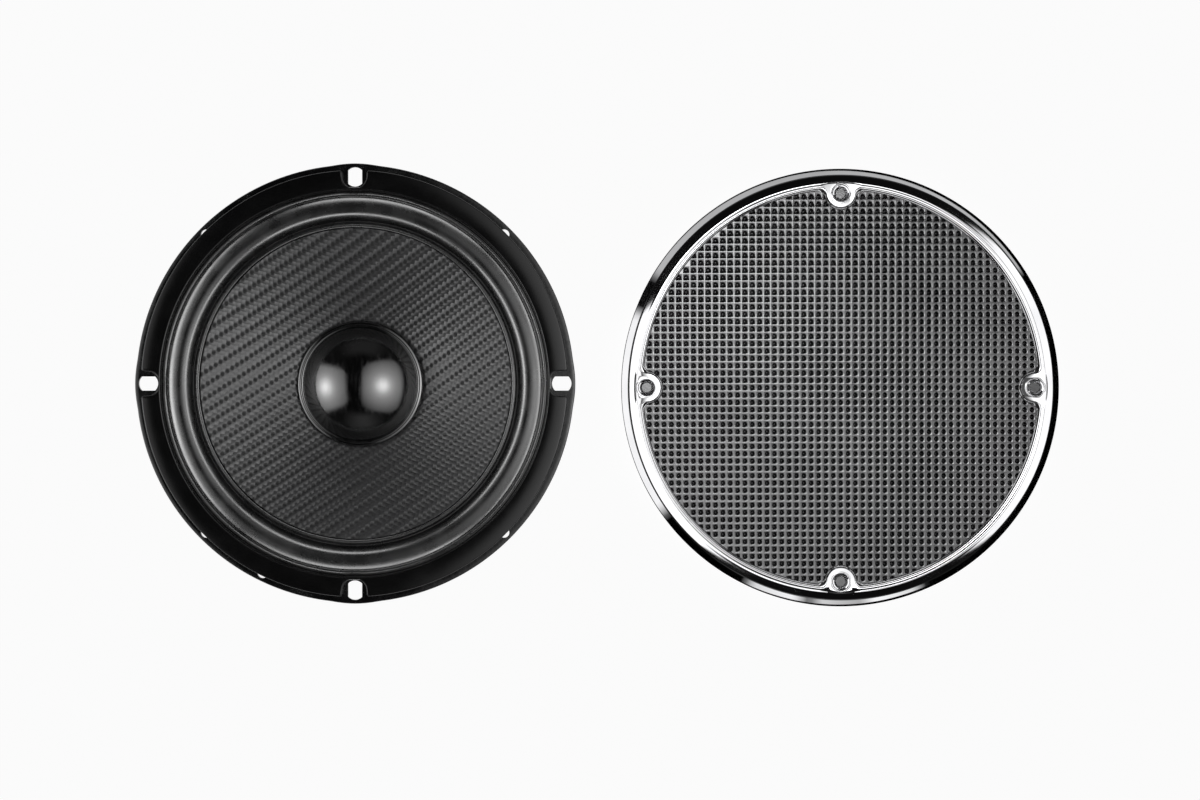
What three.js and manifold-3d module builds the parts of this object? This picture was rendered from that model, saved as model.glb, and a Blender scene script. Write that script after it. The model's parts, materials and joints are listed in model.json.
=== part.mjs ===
// A 165 mm (6.5 in) car speaker, face up, with its detachable grille lying face up beside it.
// Millimetres, +Z up. The origin is on the speaker's axis, on the back face of its T-yoke.
import * as THREE from "three";
import { mergeVertices } from "three/addons/utils/BufferGeometryUtils.js";
import Module from "manifold-3d";

const wasm = await Module();
wasm.setup();

// Facets round a full turn.
const ROUND = 48;
const RIM_ROUND = 60;
const MOTOR_ROUND = 36;
const POST_ROUND = 24;
const SMALL_ROUND = 12;
const HOLE_ROUND = 8;

// Flange and bolt circle. Everything else on the front hangs on these.
const FLANGE_R = 82.5;
const FLANGE_BACK_Z = 58;
const SHEET = 1.2;
const FLANGE_TOP_Z = FLANGE_BACK_Z + SHEET;
const BOLT_CIRCLE_R = 77.8;
const BOLT_ANGLES = [0, 90, 180, 270];
const SLOT_WIDTH = 5.3;
const SLOT_LENGTH = 7.3;
const EAR_HEIGHT = 0.4;
const EAR_R = 30;
const EAR_IN_R = 76;
const LOCATING_HOLE_R = 2;
const LOCATING_CIRCLE_R = 79.3;
const LOCATING_ANGLES = [45, 135, 225, 244, 315];

// Front gasket and surround.
const GASKET_IN_R = 72.9;
const GASKET_OUT_R = 80.1;
const GASKET_TOP_Z = FLANGE_TOP_Z + 2.6;
const GASKET_NOTCH_R = 4.6;
const LAP_R = 74;
const LAP_T = 0.8;
const LAP_CLEARANCE = 0.3;
const LAP_START_R = 70.6;
const ROLL_IN_R = 62;
const ROLL_OUT_R = 70.1;
const ROLL_CREST_Z = 61.8;
const ROLL_STEPS = 6;
const VALLEY_Z = 56.6;
const VALLEY_R = [60.3, 61.5];
const INNER_BEAD = [59.6, 57.9];

// Cone, dust cap and voice coil.
const CONE_T = 0.8;
const CONE_LINE = [
  [13.35, 35.6],
  [18, 38.7],
  [24, 41.9],
  [38, 48.4],
  [58.9, 57],
];
const CAP_DOME_R = 21.7;
const CAP_RISE = 10;
const CAP_BASE_Z = 44.2;
const CAP_RIM = [
  [22.4, CAP_BASE_Z + 0.4],
  [23.2, CAP_BASE_Z + 0.1],
  [24.1, CAP_BASE_Z - 1],
];
const CAP_T = 0.8;
const CAP_STEPS = 6;
const FORMER_IN_R = 12.7;
const FORMER_OUT_R = 12.95;
const FORMER_Z = [18, 40];
const COIL_R = [12.98, 13.5];
const COIL_Z = [18.5, 28.5];

// Motor: back plate with its pole, ring magnet, top plate.
const POLE_R = 12.35;
const POLE_TOP_Z = 27.8;
const BACK_PLATE_R = 42;
const BACK_PLATE_TOP_Z = 6;
const MAGNET_R = [22.5, 45];
const MAGNET_TOP_Z = 21;
const TOP_PLATE_R = [13.95, 42.5];
const TOP_PLATE_TOP_Z = 26;
const MOTOR_CHAMFER = 1;

// Basket: the middle line of its pressed sheet, from the top plate out to the flange edge.
const BASKET_LINE = [
  [14.6, TOP_PLATE_TOP_Z + SHEET / 2],
  [34.6, TOP_PLATE_TOP_Z + SHEET / 2],
  [37.4, 32.2],
  [44.8, 32.2],
  [68.2, 52.6],
  [70.8, FLANGE_BACK_Z + SHEET / 2],
  [FLANGE_R, FLANGE_BACK_Z + SHEET / 2],
];
const WALL_FOOT = BASKET_LINE[3];
const WALL_HEAD = BASKET_LINE[4];
const SPOKES = 8;
const SPOKE_WIDTH = 15;
const WINDOW_R = [48, 64];
const STAKE_CIRCLE_R = 25;
const STAKE_ANGLES = [45, 135, 225, 315];
const STAKE_R = 1.9;
const STAKE_HEAD_R = 3;
const STAKE_HEAD_T = 1.4;
const RIVET_CLEARANCE = 0.2;

// Spider: the corrugated cloth that centres the coil.
const SPIDER_Z = 33.1;
const SPIDER_T = 0.6;
const SPIDER_R = [13.25, 43.8];
const SPIDER_WAVES_R = [15.5, 38.5];
const SPIDER_WAVES = 4;
const SPIDER_WAVE_HEIGHT = 1.1;

// Terminal board on the spoke at 270 degrees, with its two blades.
const BOARD = [13, 26, 1.6];
const BOARD_GAP = 0.45;
const BLADE_T = 0.8;
const BLADE_LENGTH = 8;
const BLADE_FOOT = 6;
const BLADE_RIVET_AT = 2;
const BLADES = [
  { sign: "positive", width: 4.8, along: 4.2 },
  { sign: "negative", width: 2.8, along: -11 },
];
const RIVET_R = 1.1;
const RIVET_HEAD_R = 1.9;
const RIVET_HEAD_T = 0.8;

// Leads, and the pads of glue that hold their ends under the cone. The negative side mirrors this one.
const LEAD_R = 0.6;
const LEAD_STEPS = 26;
const LEAD_ROUTE = [
  [6.9, -58.7, 41.9],
  [9.8, -59.3, 43],
  [10.6, -56.5, 46.5],
  [9.6, -50, 46.6],
  [8, -42, 43.2],
  [6.8, -36, 40.6],
  [6.1, -32.4, 40.4],
  [6, -31, 41.9],
];
const LEAD_PAD_AT = [6, -30, 43.9];
const LEAD_PAD_R = 2.2;
const LEAD_PAD_T = 1.2;

// Grille, in its own frame: z 0 is the edge of its rim.
const GRILLE_AT = [188.7, -1.2, 0];
const RIM_R = 88;
const RIM_LINE = [
  [85.4, 0],
  [RIM_R, 0],
  [RIM_R, 10.4],
  [85.1, 13.4],
  [81.2, 13.7],
  [80.5, 13.5],
  [79.1, 12.6],
  [79.1, 12.2],
  [83.6, 12.2],
  [85.4, 10.4],
  [85.4, 0],
];
const BOSS_FOOT_Z = 12.2;
const BOSS_LIP = { radius: 6.7, rim: 79.3, top: 13.1 };
const BOSS_PAD = { radius: 5.6, rim: 80.5, top: 13.6 };
const BOSS_FILLET_R = 2.5;
const POST_R = 4.1;
const POST_Z = 1.2;
const SCREW_R = 1.7;
const COUNTERSINK_R = 3.6;
const COUNTERSINK_DEPTH = 2;
const GRILLE_SHEET_R = 83;
const GRILLE_SHEET_Z = [11.3, 12.1];
const RETAINER_R = [80.6, 83.4];
const RETAINER_Z = [9.8, 11.2];
const POST_CLEARANCE = 0.5;

const radians = (degrees) => (degrees * Math.PI) / 180;
const point = ([x, y]) => new THREE.Vector2(x, y);

// A copy of a geometry that holds positions only, with its shared vertices merged.
function welded(geometry) {
  const bare = geometry.clone();
  bare.deleteAttribute("normal");
  bare.deleteAttribute("uv");
  return mergeVertices(bare, 1e-4);
}

// three.js geometry to a manifold-3d solid, and back.
function solid(geometry) {
  const whole = welded(geometry);
  const vertProperties = new Float32Array(whole.attributes.position.array);
  const triVerts = new Uint32Array(whole.index.array);
  return new wasm.Manifold(new wasm.Mesh({ numProp: 3, vertProperties, triVerts }));
}

function geometryOf(body) {
  const mesh = body.getMesh();
  const geometry = new THREE.BufferGeometry();
  geometry.setAttribute("position", new THREE.BufferAttribute(mesh.vertProperties, 3));
  geometry.setIndex(new THREE.BufferAttribute(mesh.triVerts, 1));
  geometry.computeVertexNormals();
  return geometry;
}

// A body turned about Z from a section of [radius, height] points that runs anticlockwise.
function turned(section, segments = ROUND) {
  return new THREE.LatheGeometry(section.map(point), segments).rotateX(Math.PI / 2);
}

function ring(inner, outer, low, high, segments = ROUND) {
  const section = [
    [inner, low],
    [outer, low],
    [outer, high],
    [inner, high],
    [inner, low],
  ];
  return turned(section, segments);
}

function disc(radius, low, high, segments = SMALL_ROUND) {
  const section = [
    [0, low],
    [radius, low],
    [radius, high],
    [0, high],
  ];
  return turned(section, segments);
}

// The section of a sheet of even thickness along a middle line that runs outwards.
function sheetSection(line, thickness) {
  const offsets = line.map((here, i) => {
    const before = point(line[Math.max(i - 1, 0)]);
    const after = point(line[Math.min(i + 1, line.length - 1)]);
    const into = point(here).sub(before).normalize();
    const out = after.sub(point(here)).normalize();
    const along = into.clone().add(out).normalize();
    const stretch = 1 / Math.max(along.dot(i ? into : out), 0.5);
    const reach = (stretch * thickness) / 2;
    return new THREE.Vector2(here[0] ? -along.y : 0, here[0] ? along.x : 1).multiplyScalar(reach);
  });
  const below = line.map(([r, z], i) => [r - offsets[i].x, z - offsets[i].y]);
  const above = line.map(([r, z], i) => [r + offsets[i].x, z + offsets[i].y]);
  const section = [...below, ...above.reverse()];
  return line[0][0] ? [...section, section[0]] : section;
}

// Moves a geometry out to a radius, at an angle about Z.
function outAt(geometry, radius, degrees) {
  return geometry.translate(radius, 0, 0).rotateZ(radians(degrees));
}

function extruded(outline, low, high) {
  const shape = new THREE.Shape(outline.map(point));
  const options = { depth: high - low, bevelEnabled: false, curveSegments: SMALL_ROUND };
  return new THREE.ExtrudeGeometry(shape, options).translate(0, 0, low);
}

function arc(centre, radius, from, to, steps) {
  return Array.from({ length: steps + 1 }, (_, i) => {
    const angle = radians(from + ((to - from) * i) / steps);
    return [centre[0] + radius * Math.cos(angle), centre[1] + radius * Math.sin(angle)];
  });
}

function material(color, roughness, metalness) {
  return new THREE.MeshStandardMaterial({ color, roughness, metalness });
}

const finishes = {
  blackSteel: material(0x101012, 0.3, 0.4),
  zincSteel: material(0xb9b6a8, 0.35, 0.9),
  ferrite: material(0x2c2c2e, 0.6, 0.1),
  rubber: material(0x0b0b0b, 0.45, 0),
  gasket: material(0x0e0e0e, 0.6, 0),
  weave: material(0x1c1c1e, 0.4, 0),
  gloss: material(0x050505, 0.06, 0),
  cloth: material(0xc79a4b, 0.9, 0),
  aluminium: material(0xc9cbd0, 0.35, 0.9),
  copper: material(0xb5602c, 0.35, 0.9),
  board: material(0x6b3f22, 0.6, 0),
  chrome: material(0xe8e8ea, 0.05, 1),
  glue: material(0x141414, 0.5, 0),
};

function part(name, geometry, finish) {
  const mesh = new THREE.Mesh(geometry, finish);
  mesh.name = name;
  return mesh;
}

// ---- chassis ----

function slotShape() {
  const half = SLOT_WIDTH / 2;
  const round = SLOT_LENGTH / 2;
  const edge = (Math.asin(half / round) * 180) / Math.PI;
  return [...arc([0, 0], round, -edge, edge, 6), ...arc([0, 0], round, 180 - edge, 180 + edge, 6)];
}

// Room between two neighbouring spokes, seen from above.
function windowShape() {
  const half = SPOKE_WIDTH / 2;
  const step = 180 / SPOKES;
  const edge = (radius) => step - (Math.asin(half / radius) * 180) / Math.PI;
  const [low, high] = WINDOW_R;
  return [...arc([0, 0], low, edge(low), -edge(low), 4), ...arc([0, 0], high, -edge(high), edge(high), 6)];
}

function basket() {
  let body = solid(turned(sheetSection(BASKET_LINE, SHEET)));
  const earReach = FLANGE_R + EAR_HEIGHT - EAR_R;
  const insideEars = solid(disc(EAR_IN_R, 0, 2 * FLANGE_TOP_Z, ROUND));
  for (const angle of BOLT_ANGLES) {
    const ear = disc(EAR_R, FLANGE_BACK_Z, FLANGE_TOP_Z, 2 * ROUND);
    body = body.add(solid(outAt(ear, earReach, angle)).subtract(insideEars));
  }
  for (const angle of BOLT_ANGLES) {
    const slot = extruded(slotShape(), FLANGE_BACK_Z - 1, FLANGE_TOP_Z + 1);
    body = body.subtract(solid(outAt(slot, BOLT_CIRCLE_R, angle)));
  }
  for (const angle of LOCATING_ANGLES) {
    const hole = disc(LOCATING_HOLE_R, FLANGE_BACK_Z - 1, FLANGE_TOP_Z + 1);
    body = body.subtract(solid(outAt(hole, LOCATING_CIRCLE_R, angle)));
  }
  for (let i = 0; i < SPOKES; i += 1) {
    const window = extruded(windowShape(), WALL_FOOT[1] - 2, WALL_HEAD[1] + 2);
    body = body.subtract(solid(window.rotateZ(radians(((i + 0.5) * 360) / SPOKES))));
  }
  for (const angle of STAKE_ANGLES) {
    const hole = disc(STAKE_R + RIVET_CLEARANCE, TOP_PLATE_TOP_Z - 1, TOP_PLATE_TOP_Z + 2 * SHEET);
    body = body.subtract(solid(outAt(hole, STAKE_CIRCLE_R, angle)));
  }
  const rivetHole = disc(RIVET_R + RIVET_CLEARANCE, -2 * SHEET, 2 * SHEET);
  return geometryOf(body.subtract(solid(toBoardFrame(rivetHole))));
}

// A rivet through the basket's floor and the top plate.
function stake(angle) {
  const foot = MAGNET_TOP_Z + 0.3;
  const floor = TOP_PLATE_TOP_Z + SHEET;
  const crown = floor + STAKE_HEAD_T;
  const section = [
    [0, foot],
    [STAKE_R, foot],
    [STAKE_R, floor],
    [STAKE_HEAD_R, floor],
    [STAKE_HEAD_R - 0.5, crown - 0.3],
    [STAKE_HEAD_R - 1.4, crown],
    [0, crown],
  ];
  return outAt(turned(section, SMALL_ROUND), STAKE_CIRCLE_R, angle);
}

function frontGasket() {
  const section = [
    [GASKET_IN_R, FLANGE_TOP_Z + LAP_T],
    [LAP_R + LAP_CLEARANCE, FLANGE_TOP_Z + LAP_T],
    [LAP_R + LAP_CLEARANCE, FLANGE_TOP_Z],
    [GASKET_OUT_R, FLANGE_TOP_Z],
    [GASKET_OUT_R, GASKET_TOP_Z],
    [GASKET_IN_R, GASKET_TOP_Z],
    [GASKET_IN_R, FLANGE_TOP_Z + LAP_T],
  ];
  let body = solid(turned(section));
  for (const angle of BOLT_ANGLES) {
    const notch = disc(GASKET_NOTCH_R, FLANGE_TOP_Z - 1, GASKET_TOP_Z + 1, POST_ROUND);
    const depth = FLANGE_R - BOLT_CIRCLE_R;
    const mouth = new THREE.BoxGeometry(depth, 2 * GASKET_NOTCH_R, 8);
    mouth.translate(depth / 2, 0, GASKET_TOP_Z);
    body = body.subtract(solid(outAt(notch, BOLT_CIRCLE_R, angle)));
    body = body.subtract(solid(outAt(mouth, BOLT_CIRCLE_R, angle)));
  }
  return geometryOf(body);
}

// Raised inner bead, valley, half roll and the lap that the gasket holds down.
function surround() {
  const middle = (ROLL_IN_R + ROLL_OUT_R) / 2;
  const reach = (ROLL_OUT_R - ROLL_IN_R) / 2;
  const crest = ROLL_CREST_Z - LAP_T / 2;
  const lapZ = FLANGE_TOP_Z + LAP_T / 2;
  const roll = Array.from({ length: ROLL_STEPS }, (_, i) => {
    const angle = Math.PI - (Math.PI * (i + 0.5)) / ROLL_STEPS;
    const foot = VALLEY_Z + ((lapZ - VALLEY_Z) * (1 + Math.cos(angle))) / 2;
    return [middle + reach * Math.cos(angle), foot + (crest - foot) * Math.sin(angle)];
  });
  const valley = VALLEY_R.map((r) => [r, VALLEY_Z]);
  const lap = [LAP_START_R, LAP_R].map((r) => [r, lapZ]);
  return turned(sheetSection([INNER_BEAD, ...valley, ...roll, ...lap], LAP_T));
}

function spider() {
  const [start, end] = SPIDER_WAVES_R;
  const halves = 2 * SPIDER_WAVES;
  const waves = Array.from({ length: halves }, (_, i) => [
    start + ((end - start) * (i + 0.5)) / halves,
    SPIDER_Z + (i % 2 ? SPIDER_WAVE_HEIGHT : -SPIDER_WAVE_HEIGHT),
  ]);
  const flat = (r) => [r, SPIDER_Z];
  const line = [flat(SPIDER_R[0]), flat(start), ...waves, flat(end), flat(SPIDER_R[1])];
  return turned(sheetSection(line, SPIDER_T), MOTOR_ROUND);
}

function topPlate() {
  let body = solid(ring(...TOP_PLATE_R, MAGNET_TOP_Z, TOP_PLATE_TOP_Z, MOTOR_ROUND));
  for (const angle of STAKE_ANGLES) {
    const hole = disc(STAKE_R + RIVET_CLEARANCE, MAGNET_TOP_Z - 1, TOP_PLATE_TOP_Z + 1);
    body = body.subtract(solid(outAt(hole, STAKE_CIRCLE_R, angle)));
  }
  return geometryOf(body);
}

function magnet() {
  const [inner, outer] = MAGNET_R;
  const section = [
    [inner, BACK_PLATE_TOP_Z],
    [outer - MOTOR_CHAMFER, BACK_PLATE_TOP_Z],
    [outer, BACK_PLATE_TOP_Z + MOTOR_CHAMFER],
    [outer, MAGNET_TOP_Z - MOTOR_CHAMFER],
    [outer - MOTOR_CHAMFER, MAGNET_TOP_Z],
    [inner, MAGNET_TOP_Z],
    [inner, BACK_PLATE_TOP_Z],
  ];
  return turned(section, MOTOR_ROUND);
}

function yoke() {
  const section = [
    [0, 0],
    [BACK_PLATE_R - MOTOR_CHAMFER, 0],
    [BACK_PLATE_R, MOTOR_CHAMFER],
    [BACK_PLATE_R, BACK_PLATE_TOP_Z],
    [POLE_R, BACK_PLATE_TOP_Z],
    [POLE_R, POLE_TOP_Z - MOTOR_CHAMFER],
    [POLE_R - MOTOR_CHAMFER, POLE_TOP_Z],
    [0, POLE_TOP_Z],
  ];
  return turned(section, MOTOR_ROUND);
}

// ---- terminal board: x across the spoke, y up the wall, z away from the wall's outer face ----

const [footR, footZ] = WALL_FOOT;
const [headR, headZ] = WALL_HEAD;
const wallDirection = new THREE.Vector3(0, footR - headR, headZ - footZ).normalize();
const wallNormal = new THREE.Vector3(0, -wallDirection.z, wallDirection.y);
const wallMiddle = new THREE.Vector3(0, -(footR + headR) / 2, (footZ + headZ) / 2);
const boardFrame = new THREE.Matrix4()
  .makeBasis(new THREE.Vector3(1, 0, 0), wallDirection, wallNormal)
  .setPosition(wallMiddle.clone().addScaledVector(wallNormal, SHEET / 2));

function toBoardFrame(geometry) {
  return geometry.applyMatrix4(boardFrame);
}

const BOARD_FACE = BOARD_GAP + BOARD[2];
const BLADE_FACE = BOARD_FACE + BLADE_T;
const bladeRivetPlaces = BLADES.map(({ along }) => along + BLADE_RIVET_AT);

function terminalBoard() {
  const [width, length, thickness] = BOARD;
  const slab = new THREE.BoxGeometry(width, length, thickness);
  let body = solid(slab.translate(0, 0, BOARD_GAP + thickness / 2));
  for (const along of [0, ...bladeRivetPlaces]) {
    const hole = disc(RIVET_R + RIVET_CLEARANCE, 0, 2 * BOARD_FACE);
    body = body.subtract(solid(hole.translate(0, along, 0)));
  }
  return toBoardFrame(geometryOf(body));
}

// An L of flat strip: a foot riveted to the board and a blade that stands out from it.
function blade({ width, along }) {
  const middle = along + BLADE_RIVET_AT / 2;
  const foot = new THREE.BoxGeometry(width, BLADE_FOOT, BLADE_T);
  foot.translate(0, middle, BOARD_FACE + BLADE_T / 2);
  const stand = new THREE.BoxGeometry(width, BLADE_T, BLADE_LENGTH);
  stand.translate(0, middle - (BLADE_FOOT - BLADE_T) / 2, BOARD_FACE + BLADE_LENGTH / 2);
  const hole = disc(RIVET_R + RIVET_CLEARANCE, BOARD_FACE - 1, BLADE_FACE + 1, HOLE_ROUND);
  hole.translate(0, along + BLADE_RIVET_AT, 0);
  return toBoardFrame(geometryOf(solid(foot).add(solid(stand)).subtract(solid(hole))));
}

function rivet(along, face, shankFrom) {
  const section = [
    [0, shankFrom],
    [RIVET_R, shankFrom],
    [RIVET_R, face],
    [RIVET_HEAD_R, face],
    [RIVET_HEAD_R - 0.5, face + RIVET_HEAD_T - 0.1],
    [0, face + RIVET_HEAD_T],
  ];
  return toBoardFrame(turned(section, SMALL_ROUND).translate(0, along, 0));
}

// A braided lead hangs in a loop from the board, round the spoke, to its pad under the cone.
function lead(side) {
  const path = new THREE.CatmullRomCurve3(LEAD_ROUTE.map(([x, y, z]) => new THREE.Vector3(side * x, y, z)));
  const section = new THREE.Shape(arc([0, 0], LEAD_R, 0, 315, HOLE_ROUND - 1).map(point));
  const options = { steps: LEAD_STEPS, extrudePath: path, bevelEnabled: false };
  return new THREE.ExtrudeGeometry(section, options);
}

// ---- moving assembly ----

function cone() {
  return turned(sheetSection(CONE_LINE, CONE_T));
}

// A shallow dome with a raised bead and a skirt that is glued to the cone.
function dustCap() {
  const sphere = (CAP_DOME_R ** 2 + CAP_RISE ** 2) / (2 * CAP_RISE);
  const dome = Array.from({ length: CAP_STEPS + 1 }, (_, i) => {
    const r = (CAP_DOME_R * i) / CAP_STEPS;
    return [r, CAP_BASE_Z + CAP_RISE - sphere + Math.sqrt(sphere ** 2 - r ** 2)];
  });
  return turned(sheetSection([...dome, ...CAP_RIM], CAP_T), MOTOR_ROUND);
}

// A pad of glue under the cone, tilted with it, where a lead meets the coil's own wire.
function leadPad(side) {
  const [, , inner, outer] = CONE_LINE;
  const slope = Math.atan2(outer[1] - inner[1], outer[0] - inner[0]);
  const [x, y, z] = LEAD_PAD_AT;
  return disc(LEAD_PAD_R, -LEAD_PAD_T, 0)
    .rotateY(-slope)
    .rotateZ(Math.atan2(y, side * x))
    .translate(side * x, y, z);
}

// ---- grille ----

// The plan of one boss with the fillets that join it to the rim, for a boss on the +X axis.
function bossOutline({ radius, rim }) {
  const far = radius + BOSS_FILLET_R;
  const reach = rim - BOSS_FILLET_R;
  const cosine = (BOLT_CIRCLE_R ** 2 + reach ** 2 - far ** 2) / (2 * BOLT_CIRCLE_R * reach);
  const turn = Math.acos(cosine);
  const x = reach * cosine;
  const y = reach * Math.sin(turn);
  const degrees = (angle) => (angle * 180) / Math.PI;
  const towardsBoss = degrees(Math.atan2(-y, BOLT_CIRCLE_R - x));
  const bossEdge = 180 + towardsBoss;
  const upper = arc([x, y], BOSS_FILLET_R, degrees(turn), towardsBoss, 5);
  const inner = arc([BOLT_CIRCLE_R, 0], radius, bossEdge, 360 - bossEdge, 14);
  const lower = upper.map(([px, py]) => [px, -py]).reverse();
  const back = rim + 4;
  const half = 0.9 * back * Math.sin(turn);
  return [[back, half], ...upper, ...inner.slice(1, -1), ...lower, [back, -half]];
}

// A screw hole with a countersink, cut down from the boss's face.
function screwHole() {
  const face = BOSS_PAD.top;
  const section = [
    [0, -1],
    [SCREW_R, -1],
    [SCREW_R, face - COUNTERSINK_DEPTH],
    [COUNTERSINK_R, face],
    [COUNTERSINK_R, face + 1],
    [0, face + 1],
  ];
  return turned(section, SMALL_ROUND);
}

function grilleRing() {
  let body = solid(turned(RIM_LINE, RIM_ROUND));
  for (const angle of BOLT_ANGLES) {
    for (const step of [BOSS_LIP, BOSS_PAD]) {
      const boss = extruded(bossOutline(step), BOSS_FOOT_Z, step.top);
      body = body.add(solid(boss.rotateZ(radians(angle))));
    }
    const post = disc(POST_R, POST_Z, BOSS_LIP.top, POST_ROUND);
    body = body.add(solid(outAt(post, BOLT_CIRCLE_R, angle)));
  }
  for (const angle of BOLT_ANGLES) {
    body = body.subtract(solid(outAt(screwHole(), BOLT_CIRCLE_R, angle)));
  }
  return geometryOf(body);
}

// Cuts clearance for the four posts out of a flat piece.
function clearOfPosts(geometry) {
  let body = solid(geometry);
  for (const angle of BOLT_ANGLES) {
    const room = disc(POST_R + POST_CLEARANCE, 0, 2 * BOSS_PAD.top, POST_ROUND);
    body = body.subtract(solid(outAt(room, BOLT_CIRCLE_R, angle)));
  }
  return geometryOf(body);
}

// ---- assembly ----

const speaker = new THREE.Group();
speaker.add(part("basket", basket(), finishes.blackSteel));
speaker.add(part("front_gasket", frontGasket(), finishes.gasket));
speaker.add(part("surround", surround(), finishes.rubber));
speaker.add(part("spider", spider(), finishes.cloth));
speaker.add(part("top_plate", topPlate(), finishes.zincSteel));
speaker.add(part("magnet", magnet(), finishes.ferrite));
speaker.add(part("t_yoke", yoke(), finishes.zincSteel));
STAKE_ANGLES.forEach((angle, i) => {
  speaker.add(part("basket_rivet_" + (i + 1), stake(angle), finishes.zincSteel));
});
speaker.add(part("terminal_board", terminalBoard(), finishes.board));
BLADES.forEach((each, i) => {
  const fixing = rivet(bladeRivetPlaces[i], BLADE_FACE, BOARD_GAP);
  speaker.add(part("terminal_" + each.sign, blade(each), finishes.zincSteel));
  speaker.add(part("terminal_rivet_" + each.sign, fixing, finishes.zincSteel));
});
speaker.add(part("board_rivet", rivet(0, BOARD_FACE, -SHEET), finishes.zincSteel));

const former = ring(FORMER_IN_R, FORMER_OUT_R, ...FORMER_Z, MOTOR_ROUND);
const coil = ring(...COIL_R, ...COIL_Z, MOTOR_ROUND);
const moving = new THREE.Group();
moving.add(part("cone", cone(), finishes.weave));
moving.add(part("dust_cap", dustCap(), finishes.gloss));
moving.add(part("coil_former", former, finishes.aluminium));
moving.add(part("voice_coil", coil, finishes.copper));

BLADES.forEach(({ sign }, i) => {
  const side = i ? -1 : 1;
  speaker.add(part("lead_" + sign, lead(side), finishes.copper));
  moving.add(part("lead_pad_" + sign, leadPad(side), finishes.glue));
});

const mesh = clearOfPosts(disc(GRILLE_SHEET_R, ...GRILLE_SHEET_Z, ROUND));
const retainer = clearOfPosts(ring(...RETAINER_R, ...RETAINER_Z));
const grille = new THREE.Group();
grille.position.set(...GRILLE_AT);
grille.add(part("grille_ring", grilleRing(), finishes.chrome));
grille.add(part("grille_sheet", mesh, finishes.blackSteel));
grille.add(part("grille_retainer", retainer, finishes.blackSteel));

const object = new THREE.Group();
object.add(speaker, moving, grille);

export default object;
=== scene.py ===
"""Looks of a 165 mm car speaker and the chrome-rimmed grille beside it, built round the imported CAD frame.

Sizes are millimetres until mesh_piece() turns them into metres. Sections are (radius, height) points that
run anticlockwise, and loops run anticlockwise seen from above, so that every face points outwards.
"""

import itertools
import json
import math

import bmesh
import bpy
import numpy as np
from mathutils import Matrix, Vector

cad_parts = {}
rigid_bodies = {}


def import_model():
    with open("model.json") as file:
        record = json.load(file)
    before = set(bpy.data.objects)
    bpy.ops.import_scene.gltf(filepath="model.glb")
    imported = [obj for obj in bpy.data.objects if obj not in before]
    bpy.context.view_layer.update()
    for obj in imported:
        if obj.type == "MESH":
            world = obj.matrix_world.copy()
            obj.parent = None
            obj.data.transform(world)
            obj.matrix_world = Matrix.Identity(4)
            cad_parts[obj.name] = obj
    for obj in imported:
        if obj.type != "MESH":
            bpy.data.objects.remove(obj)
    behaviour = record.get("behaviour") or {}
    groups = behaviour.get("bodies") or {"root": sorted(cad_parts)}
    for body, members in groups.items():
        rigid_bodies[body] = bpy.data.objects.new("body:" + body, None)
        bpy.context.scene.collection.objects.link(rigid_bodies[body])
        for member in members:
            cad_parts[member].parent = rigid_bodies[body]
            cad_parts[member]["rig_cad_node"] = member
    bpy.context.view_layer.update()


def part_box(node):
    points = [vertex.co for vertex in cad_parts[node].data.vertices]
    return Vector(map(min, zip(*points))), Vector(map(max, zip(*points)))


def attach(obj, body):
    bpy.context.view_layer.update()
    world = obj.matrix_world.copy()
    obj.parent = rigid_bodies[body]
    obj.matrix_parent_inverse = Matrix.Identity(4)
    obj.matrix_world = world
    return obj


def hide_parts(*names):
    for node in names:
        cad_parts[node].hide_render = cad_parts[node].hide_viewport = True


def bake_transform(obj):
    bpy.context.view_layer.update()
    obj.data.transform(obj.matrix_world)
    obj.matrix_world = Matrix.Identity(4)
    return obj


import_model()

MM = 0.001
TURN = 2 * math.pi
TINY = 1e-6


# ---- driving sizes, from the frame ----

def span(node):
    """Lowest and highest corner of a CAD node, in millimetres."""
    low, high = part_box(node)
    return np.array(low) / MM, np.array(high) / MM


SHEET = 1.2
FLANGE_TOP = span("basket")[1][2]
BASKET_FLOOR = span("basket")[0][2]
GASKET_TOP = span("front_gasket")[1][2]
LAP_R = span("surround")[1][0]
MAGNET_LOW, MAGNET_HIGH = span("magnet")
YOKE_HIGH = span("t_yoke")[1]
PLATE_HIGH = span("top_plate")[1]
RING_LOW, RING_HIGH = span("grille_ring")
GRILLE_AT = (RING_LOW + RING_HIGH) / 2 * np.array([1, 1, 0])
RIM_R = (RING_HIGH[0] - RING_LOW[0]) / 2
RIM_TOP = RING_HIGH[2]
SHEET_LOW_Z = span("grille_sheet")[0][2]
SHEET_TOP_Z = span("grille_sheet")[1][2]
PITCH_CIRCLE_R = 77.8
BOLT_ANGLES = (0, 90, 180, 270)
QUADRANTS = range(4)


# ---- mesh helpers ----

def mesh_piece(name, points, faces, material, sharp=32):
    """A smooth-shaded object from points in millimetres, with hard edges where faces meet sharply."""
    mesh = bpy.data.meshes.new(name)
    mesh.from_pydata((np.asarray(points, float) * MM).tolist(), [], faces)
    mesh.materials.append(material)
    mesh.shade_smooth()
    mesh.set_sharp_from_angle(angle=math.radians(sharp))
    piece = bpy.data.objects.new(name, mesh)
    bpy.context.scene.collection.objects.link(piece)
    return piece


def bands(starts, count):
    """Quads between rings of count points, from each ring's first point to the next ring's."""
    ring = [(i, (i + 1) % count) for i in range(count)]
    return [(a + i, a + j, b + j, b + i) for a, b in zip(starts, starts[1:]) for i, j in ring]


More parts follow.
